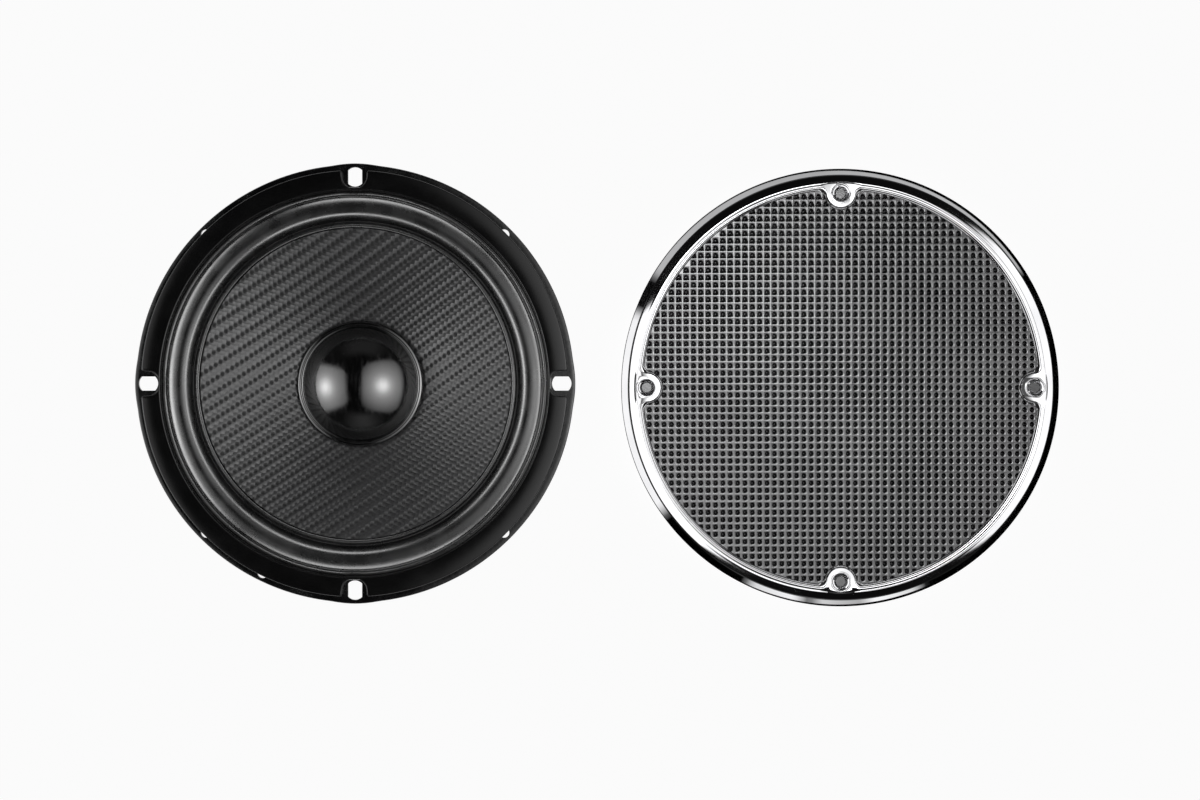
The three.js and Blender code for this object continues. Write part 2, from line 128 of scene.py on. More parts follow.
def loft(name, loops, material, closed=True, sharp=32):
    """The skin through loops of equally many points. An open loft is closed by flat faces."""
    count = len(loops[0])
    starts = [k * count for k in range(len(loops))]
    if closed:
        faces = bands([*starts, 0], count)
    else:
        ends = [tuple(reversed(range(count))), tuple(range(starts[-1], starts[-1] + count))]
        faces = [*bands(starts, count), *ends]
    return mesh_piece(name, np.concatenate(loops), faces, material, sharp)


def circle(radius, height, segments, centre=(0, 0)):
    angle = np.arange(segments) * TURN / segments
    x, y = centre[0] + radius * np.cos(angle), centre[1] + radius * np.sin(angle)
    return np.stack([x, y, np.full(segments, float(height))], 1)


def lathe(name, section, material, segments=256, centre=(0, 0), sharp=32):
    """A section turned about a vertical axis. It is closed on itself, or starts and ends on the axis."""
    section = [(max(r, 0), z) for r, z in section]
    if section[0][0] > TINY:
        return loft(name, [circle(r, z, segments, centre) for r, z in section], material, sharp=sharp)
    loops = [circle(r, z, segments, centre) for r, z in section[1:-1]]
    points = [*np.concatenate(loops), (*centre, section[0][1]), (*centre, section[-1][1])]
    faces = bands(range(0, len(loops) * segments, segments), segments)
    foot, crown, top = len(points) - 2, len(points) - 1, (len(loops) - 1) * segments
    faces += [(foot, (i + 1) % segments, i) for i in range(segments)]
    faces += [(crown, top + i, top + (i + 1) % segments) for i in range(segments)]
    return mesh_piece(name, points, faces, material, sharp)


def rounded(points, radius=0.3, steps=4, closed=True):
    """A line with its corners rounded. A third value on a point is that corner's own radius."""
    out, count = [], len(points)
    for i, corner in enumerate(points):
        here = np.array(corner[:2], float)
        size = corner[2] if len(corner) > 2 else radius
        if not size or (not closed and i in (0, count - 1)):
            out.append(here)
            continue
        before = np.array(points[i - 1][:2]) - here
        after = np.array(points[(i + 1) % count][:2]) - here
        back, on = np.linalg.norm(before), np.linalg.norm(after)
        before, after = before / back, after / on
        angle = math.acos(np.clip(before @ after, -1, 1))
        reach = min(size / math.tan(angle / 2), 0.49 * back, 0.49 * on)
        for t in np.linspace(0, 1, steps + 1):
            out.append(here + reach * ((1 - t) ** 2 * before + t ** 2 * after))
    return np.array(out)


def resampled(line, step):
    """The same line with points about one step apart."""
    line = np.asarray(line, float)
    along = np.concatenate([[0], np.cumsum(np.linalg.norm(np.diff(line, axis=0), axis=1))])
    places = np.linspace(0, along[-1], max(2, round(along[-1] / step) + 1))
    return np.stack([np.interp(places, along, line[:, k]) for k in range(line.shape[1])], 1)


def normals_of(line):
    along = np.gradient(line, axis=0)
    along /= np.linalg.norm(along, axis=1)[:, None]
    return np.stack([-along[:, 1], along[:, 0]], 1), along


def sheet_section(line, thickness, steps=4):
    """The closed section of an even sheet with round edges, along a middle line that runs outwards."""
    line = np.asarray(line, float)
    half = thickness / 2
    normal, along = normals_of(line)
    turn = np.linspace(-math.pi / 2, math.pi / 2, steps + 2)[1:-1, None]
    outer = line[-1] + half * (np.cos(turn) * along[-1] + np.sin(turn) * normal[-1])
    inner = line[0] - half * (np.cos(turn) * along[0] + np.sin(turn) * normal[0])
    return np.concatenate([line - half * normal, outer, (line + half * normal)[::-1], inner])


def arc(centre, radius, start, end, steps):
    """Plan points on an arc, with its ends in degrees."""
    angle = np.radians(np.linspace(start, end, steps + 1))
    return np.stack([centre[0] + radius * np.cos(angle), centre[1] + radius * np.sin(angle)], 1)


def polar(radius, degrees):
    """The plan point at a radius in a direction."""
    return arc((0, 0), radius, degrees, degrees, 0)[0]


def plan_radius(points):
    return np.hypot(points[:, 0], points[:, 1])


def bearing(points):
    """Each point's direction in plan, in degrees."""
    return np.degrees(np.arctan2(points[:, 1], points[:, 0]))


def turned_by(points, degrees):
    """Plan points turned about the origin."""
    x, y = np.asarray(points).T
    cosine, sine = polar(1, degrees)
    return np.stack([x * cosine - y * sine, x * sine + y * cosine], 1)


def all_round(eighth):
    """A closed loop from its first eighth, which runs from 0 to 45 degrees and is mirrored and repeated."""
    mirrored = turned_by((eighth * [1, -1])[::-1], 90)
    quarter = np.concatenate([eighth[:-1], mirrored[:-1]])
    return np.concatenate([turned_by(quarter, 90 * k) for k in QUADRANTS])


def at_height(loop, height):
    return np.column_stack([loop, np.broadcast_to(height, len(loop))])


def prism(outline, low, high):
    """Points and faces of a closed upright prism on an anticlockwise outline."""
    count = len(outline)
    points = np.concatenate([at_height(outline, low), at_height(outline, high)])
    return points, [*bands((0, count), count), tuple(reversed(range(count))), tuple(range(count, 2 * count))]


def joined(solids):
    points, faces, start = [], [], 0
    for some, their_faces in solids:
        points.append(some)
        faces += [tuple(start + i for i in face) for face in their_faces]
        start += len(some)
    return np.concatenate(points), faces


def cut(piece, solids, sharp=32):
    """Cuts closed solids, which don't overlap each other, out of a piece."""
    cutter = mesh_piece("cutter", *joined(solids), piece.data.materials[0])
    boolean = piece.modifiers.new("cut", "BOOLEAN")
    boolean.operation, boolean.solver, boolean.object = "DIFFERENCE", "EXACT", cutter
    bpy.context.view_layer.update()
    shape = bpy.data.meshes.new_from_object(piece.evaluated_get(bpy.context.evaluated_depsgraph_get()))
    piece.modifiers.clear()
    piece.data = shape
    bpy.data.objects.remove(cutter)
    shape.shade_smooth()
    shape.set_sharp_from_angle(angle=math.radians(sharp))
    return piece


def read_points(piece):
    flat = np.empty(3 * len(piece.data.vertices))
    piece.data.vertices.foreach_get("co", flat)
    return flat.reshape(-1, 3) / MM


def write_points(piece, points):
    piece.data.vertices.foreach_set("co", (np.asarray(points) * MM).ravel())
    piece.data.update()
    return piece


def placed(piece, matrix):
    """Moves a piece's points by a matrix in millimetres."""
    points = read_points(piece)
    return write_points(piece, points @ np.array(matrix.to_3x3()).T + np.array(matrix.translation))


def taken(shape):
    """The points and faces of a bmesh, which is then freed."""
    points = np.array([v.co for v in shape.verts])
    faces = [tuple(v.index for v in f.verts) for f in shape.faces]
    shape.free()
    return points, faces


def block(name, size, centre, material, edge=0.25):
    """A box with rounded edges."""
    shape = bmesh.new()
    bmesh.ops.create_cube(shape, size=1)
    bmesh.ops.scale(shape, vec=Vector(size), verts=shape.verts)
    bmesh.ops.translate(shape, vec=Vector(centre), verts=shape.verts)
    bmesh.ops.bevel(shape, geom=shape.edges[:], offset=edge, segments=3, profile=0.5, affect="EDGES")
    return mesh_piece(name, *taken(shape), material)


def tube(name, path, radius, material, sides=20, relief=None):
    """A round tube along a path, closed at both ends. relief(along, angle) is added to its radius."""
    path = np.asarray(path, float)
    along = np.gradient(path, axis=0)
    along /= np.linalg.norm(along, axis=1)[:, None]
    across = np.cross(along[0], [0, 0, 1.0])
    distance = np.concatenate([[0], np.cumsum(np.linalg.norm(np.diff(path, axis=0), axis=1))])
    angle = np.arange(sides) * TURN / sides
    loops = []
    for here, way, s in zip(path, along, distance):
        across = across - (across @ way) * way
        across /= np.linalg.norm(across)
        up = np.cross(way, across)
        r = radius + (relief(s, angle) if relief else 0 * angle)
        loops.append(here + r[:, None] * (np.cos(angle)[:, None] * across + np.sin(angle)[:, None] * up))
    return loft(name, loops, material, closed=False, sharp=60)


def smooth_path(points, step):
    """A Catmull-Rom curve through points, resampled evenly."""
    p = np.asarray(points, float)
    p = np.concatenate([[2 * p[0] - p[1]], p, [2 * p[-1] - p[-2]]])
    t = np.linspace(0, 1, 12, endpoint=False)[:, None]
    out = []
    for a, b, c, d in zip(p, p[1:], p[2:], p[3:]):
        bend = t ** 2 * (2 * a - 5 * b + 4 * c - d) + t ** 3 * (3 * b - a - 3 * c + d)
        out.append(b + (t * (c - a) + bend) / 2)
    return resampled(np.concatenate([*out, p[-2:-1]]), step)


# ---- material helpers ----

SPREAD = (0.3, 0.7)


class Look:
    """A material with one Principled shader, and short ways to add the nodes that feed it."""

    def __init__(self, name, colour, roughness, **settings):
        self.material = bpy.data.materials.new(name)
        self.material.use_nodes = True
        self.tree = self.material.node_tree
        self.shader = self.tree.nodes["Principled BSDF"]
        self.colour = colour
        self.set("Base Color", (*colour, 1))
        self.set("Roughness", roughness)
        for key, value in settings.items():
            self.set(key.replace("_", " "), value)
        self.place = self.node("TexCoord").outputs["Object"]

    def set(self, socket, value):
        self.feed(self.shader.inputs[socket], value)

    def feed(self, socket, value):
        if isinstance(value, bpy.types.NodeSocket):
            self.tree.links.new(value, socket)
        else:
            socket.default_value = value

    def node(self, kind, feeds=None, **settings):
        node = self.tree.nodes.new("ShaderNode" + kind)
        for key, value in settings.items():
            setattr(node, key, value)
        for key, value in (feeds or {}).items():
            self.feed(node.inputs[key], value)
        return node

    def math(self, operation, a, b=0.0):
        return self.node("Math", {0: a, 1: b}, operation=operation).outputs[0]

    def plus(self, a, b):
        return self.math("ADD", a, b)

    def minus(self, a, b):
        return self.math("SUBTRACT", a, b)

    def times(self, a, b):
        return self.math("MULTIPLY", a, b)

    def over(self, a, b):
        return self.math("DIVIDE", a, b)

    def noise(self, scale, detail=2.0, place=None, stretch=None):
        """Noise, nearly all of it within SPREAD, with scale in features per metre."""
        place = place or self.place
        if stretch:
            place = self.node("Mapping", {"Vector": place, "Scale": stretch}).outputs[0]
        return self.node("TexNoise", {"Vector": place, "Scale": scale, "Detail": detail}).outputs["Fac"]

    def between(self, value, low, high, at_low, at_high):
        """value from low to high, mapped to at_low to at_high and held there outside."""
        feeds = {"Value": value, "From Min": low, "From Max": high, "To Min": at_low, "To Max": at_high}
        return self.node("MapRange", feeds).outputs[0]

    def mix(self, amount, first, second, **settings):
        """A colour between two colours or sockets, by an amount from 0 to 1."""
        first, second = (c if isinstance(c, bpy.types.NodeSocket) else (*c, 1) for c in (first, second))
        feeds = {0: amount, 6: first, 7: second}
        return self.node("Mix", feeds, data_type="RGBA", **settings).outputs[2]

    def vary(self, pattern, colours=None, rough=None, ends=SPREAD):
        """Base colour and roughness that go from a first value to a second between a pattern's ends."""
        share = self.between(pattern, *ends, 0, 1)
        if colours:
            self.set("Base Color", self.mix(share, *colours))
        if rough:
            self.set("Roughness", self.between(share, 0, 1, *rough))

    def dust(self, dust, colour, rough, rougher):
        """Another colour and more roughness wherever there is dust."""
        self.set("Base Color", self.mix(dust, self.colour, colour))
        self.set("Roughness", self.plus(rough, self.times(dust, rougher)))

    def bump(self, height, depth, under=None):
        """Relief of a given depth in millimetres, for a height from 0 to 1."""
        feeds = {"Height": height, "Distance": depth * MM, "Strength": 1.0}
        if under:
            feeds["Normal"] = under
        normal = self.node("Bump", feeds).outputs[0]
        self.set("Normal", normal)
        return normal


def specks(look, scale, share):
    """1 in small scattered spots that cover about the given share of the surface, else 0."""
    cells = look.node("TexVoronoi", {"Vector": look.place, "Scale": scale}).outputs
    wide = look.noise(scale * 0.07, 3)
    size = look.between(wide, 0.42, 0.68, 0, share)
    return look.math("LESS_THAN", cells["Distance"], size)


# ---- materials ----

def gloss_paint():
    """Gloss black paint on pressed steel: faint orange peel, and a dusting of rough specks."""
    look = Look("black_paint", (0.003, 0.003, 0.0033), 0.2, Specular_IOR_Level=0.6)
    dust = specks(look, 2600, 0.3)
    look.dust(dust, (0.02, 0.02, 0.019), look.between(look.noise(90, 3), 0.35, 0.65, 0.14, 0.26), 0.3)
    look.bump(look.plus(look.noise(420, 2), look.times(dust, 0.25)), 0.05)
    return look.material


def gasket_plastic():
    """Satin black moulded ring, with a very fine grain."""
    look = Look("gasket_plastic", (0.0035, 0.0035, 0.0036), 0.22, Specular_IOR_Level=0.55)
    look.vary(look.noise(140, 4), rough=(0.13, 0.19))
    look.bump(look.noise(5200, 3), 0.003)
    return look.material


def surround_rubber():
    """Moulded rubber: satin, slightly uneven, with a fine grain and a little dust."""
    look = Look("surround_rubber", (0.0035, 0.0035, 0.0036), 0.3, Specular_IOR_Level=0.8)
    rough = look.between(look.noise(110, 4), *SPREAD, 0.22, 0.34)
    look.dust(specks(look, 1900, 0.08), (0.02, 0.02, 0.02), rough, 0.2)
    look.bump(look.noise(260, 2), 0.015, look.bump(look.noise(6500, 2), 0.008))
    return look.material


def twill(look):
    """Relief, share of warp on top, threads and pits of a 2 by 2 twill, turned in plan. The pits also mark
    where shade is painted.
    """
    turn = (0, 0, -math.radians(TOW_TURN))
    turned = look.node("Mapping", {"Vector": look.place, "Rotation": turn}).outputs[0]
    axes = look.node("SeparateXYZ", {"Vector": turned}).outputs
    u, v = look.over(axes["X"], TOW_PITCH * MM), look.over(axes["Y"], TOW_PITCH * MM)

    def tow(across, along, shift):
        """Height of the tows that lie side by side across one axis and run along the other."""
        phase = look.plus(look.minus(along, look.math("FLOOR", across)), shift)
        side = look.minus(look.math("FRACT", across), 0.5)
        wave = look.math("SINE", look.times(phase, math.pi / 2))
        return look.minus(wave, look.times(look.times(side, side), TWILL_CROWN))

    warp, weft = tow(u, v, WARP_SHIFT), tow(v, u, WEFT_SHIFT)
    is_warp = look.between(look.minus(warp, weft), -0.04, 0.04, 0, 1)
    fibres = [look.noise(1, 2, turned, stretch) for stretch in ((700, 9000, 9000), (9000, 700, 9000))]
    threads = look.node("Mix", {0: is_warp, 2: fibres[0], 3: fibres[1]}, data_type="FLOAT").outputs[0]

    # a pit where each float of the warp comes up from under the weft, which the material also paints near
    # black as shade
    along = look.plus(look.minus(v, look.math("FLOOR", u)), 1 - SHADED_PIT_AT)
    along = look.math("FRACT", look.plus(look.over(along, TWILL_REPEAT), 0.5))
    along = look.times(look.minus(along, 0.5), TWILL_REPEAT)
    across = look.minus(look.math("FRACT", u), 0.5)
    away = look.plus(look.times(along, along), look.times(across, across))
    shaded_pit = look.between(away, 0.04, SHADED_PIT_R ** 2, 1, 0)
    return look.math("MAXIMUM", warp, weft), is_warp, threads, shaded_pit


def cone_weave():
    """Black woven cone, with painted shade in its pits and on its weft. Fibres spread a highlight across
    themselves, so each set of tows shines alone.
    """
    look = Look("cone_weave", (0.01, 0.01, 0.01), 0.3, Specular_IOR_Level=1.0, Anisotropic=0.8)
    height, is_warp, threads, shaded_pit = twill(look)
    shade = look.between(threads, *SPREAD, 0, 1)
    # painted shade: the weft gets a darker colour than the warp, standing in for tows that catch less of the
    # side lights
    warp = look.mix(shade, (0.03, 0.03, 0.031), (0.06, 0.06, 0.061))
    weft = look.mix(shade, (0.018, 0.018, 0.0185), (0.045, 0.045, 0.046))
    # painted shade: the pits are painted near black
    look.set("Base Color", look.mix(shaded_pit, look.mix(is_warp, weft, warp), (0.0015, 0.0015, 0.0015)))
    look.set("Roughness", look.plus(look.between(threads, *SPREAD, 0.3, 0.4), look.times(shaded_pit, 0.5)))
    cosine, sine = polar(1, TOW_TURN)
    ways = {0: is_warp, 4: (-sine, cosine, 0), 5: (cosine, sine, 0)}
    look.set("Tangent", look.node("Mix", ways, data_type="VECTOR").outputs[1])
    relief = look.minus(look.between(height, -1.2, 1, 0, 1), look.times(shaded_pit, 0.4))
    look.bump(relief, 0.2, look.bump(threads, 0.02))
    return look.material


def cap_gloss():
    """Mirror-gloss black moulding with fine wiping marks and a few dust specks."""
    look = Look("cap_gloss", (0.0016, 0.0016, 0.0017), 0.05, IOR=1.8, Specular_IOR_Level=1.0)
    wipes = look.noise(1, 3, stretch=(900, 150, 900))
    rough = look.between(wipes, *SPREAD, 0.06, 0.2)
    look.dust(specks(look, 1500, 0.07), (0.012, 0.012, 0.012), rough, 0.35)
    look.bump(look.plus(look.noise(160, 3), look.times(wipes, 0.12)), 0.02)
    return look.material


def chrome():
    """Polished chrome over a moulded rim: a slow waviness, light handling marks and a few pits."""
    look = Look("chrome", (0.78, 0.78, 0.79), 0.05, Metallic=1.0)
    smear = look.noise(60, 4)
    look.vary(smear, ((0.8, 0.8, 0.81), (0.72, 0.72, 0.735)), ends=(0.35, 0.7))
    look.vary(smear, rough=(0.03, 0.11), ends=(0.4, 0.75))
    look.bump(look.plus(look.noise(55, 2), look.times(specks(look, 1300, 0.04), 0.1)), 0.05)
    return look.material


def grille_paint():
    """Satin black paint with metal flake on embossed steel, so its base colour is how much it reflects."""
    look = Look("grille_paint", (0.15, 0.15, 0.152), 0.2, Metallic=1.0)
    patch = look.noise(35, 3)
    look.vary(patch, ((0.13, 0.13, 0.132), (0.17, 0.17, 0.172)))
    look.vary(patch, rough=(0.15, 0.25), ends=(0.35, 0.65))
    look.bump(look.noise(1500, 3), 0.02)
    return look.material


def zinc_steel():
    """Zinc-plated steel: pale, a little yellow in patches, with a spangled, brushed surface."""
    look = Look("zinc_steel", (0.6, 0.57, 0.5), 0.34, Metallic=1.0)
    spangle = look.node("TexVoronoi", {"Vector": look.place, "Scale": 700}).outputs["Color"]
    grey = look.node("RGBToBW", {0: spangle}).outputs[0]
    look.vary(look.noise(70, 4), ((0.56, 0.55, 0.52), (0.6, 0.53, 0.38)), ends=(0.35, 0.65))
    look.vary(grey, rough=(0.26, 0.42), ends=(0, 1))
    look.bump(look.noise(1, 3, stretch=(2500, 400, 2500)), 0.02)
    return look.material


def ferrite():
    """Ground ferrite: dark grey, matt, with a sandy grain and small chips."""
    look = Look("ferrite", (0.035, 0.035, 0.037), 0.55)
    grain = look.noise(3200, 4)
    look.vary(grain, ((0.024, 0.024, 0.026), (0.05, 0.05, 0.052)))
    look.vary(look.noise(200, 3), rough=(0.45, 0.66))
    look.bump(look.minus(grain, look.times(specks(look, 420, 0.12), 0.8)), 0.07)
    return look.material


def spider_cloth():
    """Resin-treated cotton: a plain weave, ochre, darker where more resin has soaked in."""
    look = Look("spider_cloth", (0.5, 0.32, 0.12), 0.75, Sheen_Weight=0.15)
    axes = look.node("SeparateXYZ", {"Vector": look.place}).outputs
    waves = [look.math("SINE", look.times(axes[k], TURN / (CLOTH_PITCH * MM))) for k in "XY"]
    weave = look.between(look.times(*waves), -1, 1, 0, 1)
    base = look.mix(look.between(look.noise(90, 4), *SPREAD, 0, 1), (0.52, 0.33, 0.12), (0.34, 0.19, 0.06))
    threads = look.mix(weave, (0.45, 0.42, 0.38), (1, 1, 1))
    look.set("Base Color", look.mix(0.45, base, threads, blend_type="MULTIPLY"))
    look.vary(weave, rough=(0.85, 0.62), ends=(0, 1))
    look.bump(weave, 0.12)
    return look.material


def phenolic():
    """Brown phenolic board: mottled paper fibres under a thin resin gloss."""
    look = Look("phenolic", (0.16, 0.07, 0.025), 0.4)
    mottle = look.noise(1, 4, stretch=(1800, 600, 900))
    look.vary(mottle, ((0.2, 0.09, 0.032), (0.11, 0.045, 0.016)), (0.36, 0.52))
    look.bump(look.noise(2600, 3), 0.02)
    return look.material


def tin_plate():
    """Bright tin plate on brass strip, drawn along its length."""
    look = Look("tin_plate", (0.72, 0.71, 0.68), 0.28, Metallic=1.0)
    drawn = look.noise(1, 3, stretch=(6000, 6000, 350))
    look.vary(drawn, ((0.76, 0.75, 0.72), (0.62, 0.6, 0.55)), (0.2, 0.36))
    look.bump(drawn, 0.015)
    return look.material


def copper(name, first, second):
    """Copper wire, redder or yellower in patches."""
    look = Look(name, first, 0.32, Metallic=1.0)
    look.vary(look.noise(900, 3), (first, second), (0.24, 0.42), ends=(0.35, 0.65))
    look.bump(look.noise(9000, 2), 0.01)
    return look.material


def aluminium():
    """Rolled aluminium foil, with fine lines round the former."""
    look = Look("aluminium", (0.78, 0.79, 0.8), 0.3, Metallic=1.0)
    lines = look.noise(1, 3, stretch=(300, 300, 9000))
    look.vary(lines, ((0.8, 0.81, 0.82), (0.66, 0.67, 0.69)), (0.22, 0.38))
    look.bump(lines, 0.01)
    return look.material


def glue():
    """Black glue, lumpy and shiny."""
    look = Look("glue", (0.008, 0.008, 0.008), 0.3)
    look.vary(look.noise(900, 3), rough=(0.2, 0.42))
    look.bump(look.noise(600, 3), 0.2)
    return look.material


# the cone's twill, with lengths as shares of a tow's pitch and its turn in degrees
TOW_PITCH = 1.47
TOW_TURN = -10.5
TWILL_CROWN = 1.5
TWILL_REPEAT = 4
WARP_SHIFT = 1
WEFT_SHIFT = -2
SHADED_PIT_AT = 0.12
SHADED_PIT_R = 0.74
CLOTH_PITCH = 0.9

finish = {
    "black_painted_steel": gloss_paint(),
    "gasket_black": gasket_plastic(),
    "surround_rubber": surround_rubber(),
    "spider_cloth": spider_cloth(),
    "zinc_steel": zinc_steel(),
    "ferrite": ferrite(),
    "board_phenolic": phenolic(),
    "terminal_tin": tin_plate(),
    "lead_braid": copper("lead_braid", (0.72, 0.42, 0.22), (0.8, 0.55, 0.32)),
    "cone_weave": cone_weave(),
    "cap_gloss": cap_gloss(),
    "former_aluminium": aluminium(),
    "coil_copper": copper("coil_copper", (0.6, 0.2, 0.07), (0.72, 0.3, 0.12)),
    "pad_glue": glue(),
    "grille_chrome": chrome(),
    "grille_black": grille_paint(),
}


def place_on(piece, body, slot, *nodes):
    """A finished piece rides on a body and stands for CAD nodes."""
    if nodes:
        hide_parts(*nodes)
    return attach(piece, body)


# ---- basket ----

FLANGE_R = 82.5
EAR_HEIGHT = 0.45
EAR_HALF_ANGLE = 6.5
EAR_FROM_R = 78
SLOT_WIDTH = 5.3
SLOT_LENGTH = 7.3
LOCATING_HOLE_R = 2
LOCATING_CIRCLE_R = 79.3
LOCATING_ANGLES = (45, 135, 225, 244, 315)
WALL_FOOT = (44.8, 32.2)
WALL_HEAD = (68.2, 52.6)
SPOKES = 8
SPOKE_WIDTH = 15
WINDOW_R = (48, 64)
WINDOW_CORNER = 3
RIB_WIDTH = 6
RIB_HEIGHT = 1.1
STAKE_CIRCLE_R = 25
STAKE_ANGLES = (45, 135, 225, 315)


def bolt_angle(points):
    """Degrees from each point to the nearest bolt hole's direction."""
    return (bearing(points) + 45) % 90 - 45


def slot_outline():
    half, radius = SLOT_WIDTH / 2, SLOT_LENGTH / 2
    edge = math.degrees(math.asin(half / radius))
    return np.concatenate([arc((0, 0), radius, side - edge, side + edge, 12) for side in (0, 180)])


def window_outline():
    half, step = SPOKE_WIDTH / 2, 180 / SPOKES
    inner, outer = (math.degrees(math.asin(half / r)) for r in WINDOW_R)
    inside = arc((0, 0), WINDOW_R[0], step - inner, inner - step, 4)
    outside = arc((0, 0), WINDOW_R[1], outer - step, step - outer, 6)
    corners = [*inside, *outside]
    ends = {0, len(inside) - 1, len(inside), len(corners) - 1}
    return rounded([(*p, WINDOW_CORNER if i in ends else 0) for i, p in enumerate(corners)], steps=8)


def shifted(outline, radius, degrees):
    return turned_by(np.asarray(outline) + [radius, 0], degrees)


def basket():
    floor = BASKET_FLOOR + SHEET / 2
    flange = FLANGE_TOP - SHEET / 2
    wall_normal = np.array([WALL_FOOT[1] - WALL_HEAD[1], WALL_HEAD[0] - WALL_FOOT[0]])
    wall_normal = wall_normal / math.dist(WALL_FOOT, WALL_HEAD)
    line = [
        (14.6 + SHEET / 2, floor), (34.6, floor, 2), (37.4, WALL_FOOT[1], 2), (*WALL_FOOT, 2.5),
        (*WALL_HEAD, 3), (70.8, flange, 1.5), (FLANGE_R - SHEET / 2, flange),
    ]
    section = sheet_section(resampled(rounded(line, steps=6, closed=False), 0.9), SHEET)
    piece = lathe("basket", section, finish["black_painted_steel"], 360)
    points = read_points(piece)
    radius = plan_radius(points)
    way = points[:, :2] / radius[:, None]

    # ears round the bolt slots
    ear = EAR_HEIGHT * np.clip(np.cos(np.radians(bolt_angle(points)) * 90 / EAR_HALF_ANGLE), 0, 1)
    ear[np.abs(bolt_angle(points)) > EAR_HALF_ANGLE] = 0
    points[:, :2] += way * (ear * np.clip((radius - EAR_FROM_R) / 4, 0, 1))[:, None]

    # a stiffening rib pressed outwards along each spoke
    side = radius * np.radians((bearing(points) + 180 / SPOKES) % (360 / SPOKES) - 180 / SPOKES)
    along = np.clip((radius - WALL_FOOT[0] + 1) / 4, 0, 1) * np.clip((WALL_HEAD[0] + 0.5 - radius) / 4, 0, 1)
    rib = RIB_HEIGHT * np.clip(1.4 * np.cos(np.clip(side / RIB_WIDTH, -0.5, 0.5) * math.pi), 0, 1) * along
    rib *= radius > WALL_FOOT[0] - 1
    points[:, :2] -= way * (rib * wall_normal[0])[:, None]
    points[:, 2] -= rib * wall_normal[1]
    write_points(piece, points)

    top, under = FLANGE_TOP + 1, FLANGE_TOP - SHEET - 1
    solids = [prism(shifted(slot_outline(), PITCH_CIRCLE_R, a), under, top) for a in BOLT_ANGLES]
    hole = circle(LOCATING_HOLE_R, 0, 32)[:, :2]
    solids += [prism(shifted(hole, LOCATING_CIRCLE_R, a), under, top) for a in LOCATING_ANGLES]
    window = window_outline()
    solids += [prism(turned_by(window, (i + 0.5) * 360 / SPOKES), 33.4, 55) for i in range(SPOKES)]
    cut(piece, solids)
    place_on(piece, "chassis", "black_painted_steel", "basket")


def basket_rivets():
    """Domed rivet heads that clench the basket's floor to the top plate."""
    seat = BASKET_FLOOR + SHEET
    for i, angle in enumerate(STAKE_ANGLES):
        low, high = span(f"basket_rivet_{i + 1}")
        foot, crown = low[2], high[2]
        section = [(0, foot), (1.9, foot), (1.9, seat, 0.1), (3, seat, 0.2), (2.7, crown - 0.4, 0.5)]
        section = rounded([*section, (1.4, crown - 0.05, 0.6)], 0.1, closed=False)
        section = [*section, (0.7, crown), (0, crown - 0.12)]
        centre = tuple(polar(STAKE_CIRCLE_R, angle))
        piece = lathe(f"basket_rivet_{i + 1}_head", section, finish["zinc_steel"], 48, centre)
        place_on(piece, "chassis", "zinc_steel", f"basket_rivet_{i + 1}")


# ---- gasket ----

GASKET_IN_R = 72.9
GASKET_OUT_R = 80.1
GASKET_BEVEL = 0.5
GASKET_LEAST = 0.12
NOTCH_R = 4.6
LAP_T = 0.8


def notched(inset):
    """The gasket's outer edge, set in by inset, with a notch open outwards round each bolt slot."""
    radius, outer, corner = NOTCH_R + inset, GASKET_OUT_R - inset, 0.9
    mouth = math.degrees(math.atan2(radius, PITCH_CIRCLE_R))
    start = math.hypot(PITCH_CIRCLE_R, radius)
    way = polar(1, mouth)
    swing = math.degrees(corner / outer)
    t = np.linspace(0, 1, 7)[:, None]
    tip = polar(outer, mouth + swing)
    bend = (1 - t) ** 2 * way * (outer - corner) + 2 * t * (1 - t) * way * outer + t ** 2 * tip
    wall = np.linspace(start, outer - corner, 4)[1:-1, None] * way
    rest = arc((0, 0), outer, mouth + swing, 45, 60)[1:]
    return np.concatenate([arc((PITCH_CIRCLE_R, 0), radius, 180, 90, 22), wall, bend, rest])


def outwards(loop):
    """The direction away from the axis at each point."""
    angle = np.arctan2(loop[:, 1], loop[:, 0])
    return np.stack([np.cos(angle), np.sin(angle)], 1)


def front_gasket():
    way = outwards(all_round(notched(0)))

    def inside(inset, height):
        return at_height(way * (GASKET_IN_R + inset), height)

    def outside(inset, height):
        loop = all_round(notched(inset))
        least = GASKET_IN_R + inset + GASKET_LEAST
        return at_height(loop * np.maximum(1, least / plan_radius(loop))[:, None], height)

    loops = [inside(0, FLANGE_TOP + LAP_T + 0.02), outside(0, FLANGE_TOP + 0.02)]
    turns = [(outside, t) for t in (0, 20, 45, 70, 90)] + [(inside, t) for t in (90, 70, 45, 20, 0)]
    for side, t in turns:
        inset, drop = GASKET_BEVEL * (1 - polar(1, t))
        loops.append(side(inset, GASKET_TOP - drop))
    piece = loft("front_gasket", loops, finish["gasket_black"], sharp=40)
    place_on(piece, "chassis", "gasket_black", "front_gasket")


# ---- surround and spider, which join the chassis to the cone ----

ROLL_IN_R = 62
ROLL_OUT_R = 70.1
ROLL_CREST_Z = 61.4
VALLEY_Z = 56.6
BEAD_R = 71.8
BEAD_GIVES = 0.45
SPIDER_T = 0.5
SPIDER_IN_R = 13.6
WAVES = 4
WAVE_HEIGHT = 1.1
WAVE_R = (15.5, 38.5)


def bend_by_radius(piece, node):
    """Hides the CAD node that the piece stands for, and leaves the piece's points as they were."""
    points = read_points(piece)
    radius = plan_radius(points)
    write_points(piece, np.stack([radius, 0 * radius, 0 * radius], 1))
    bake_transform(piece)
    write_points(piece, points)
    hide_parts(node)


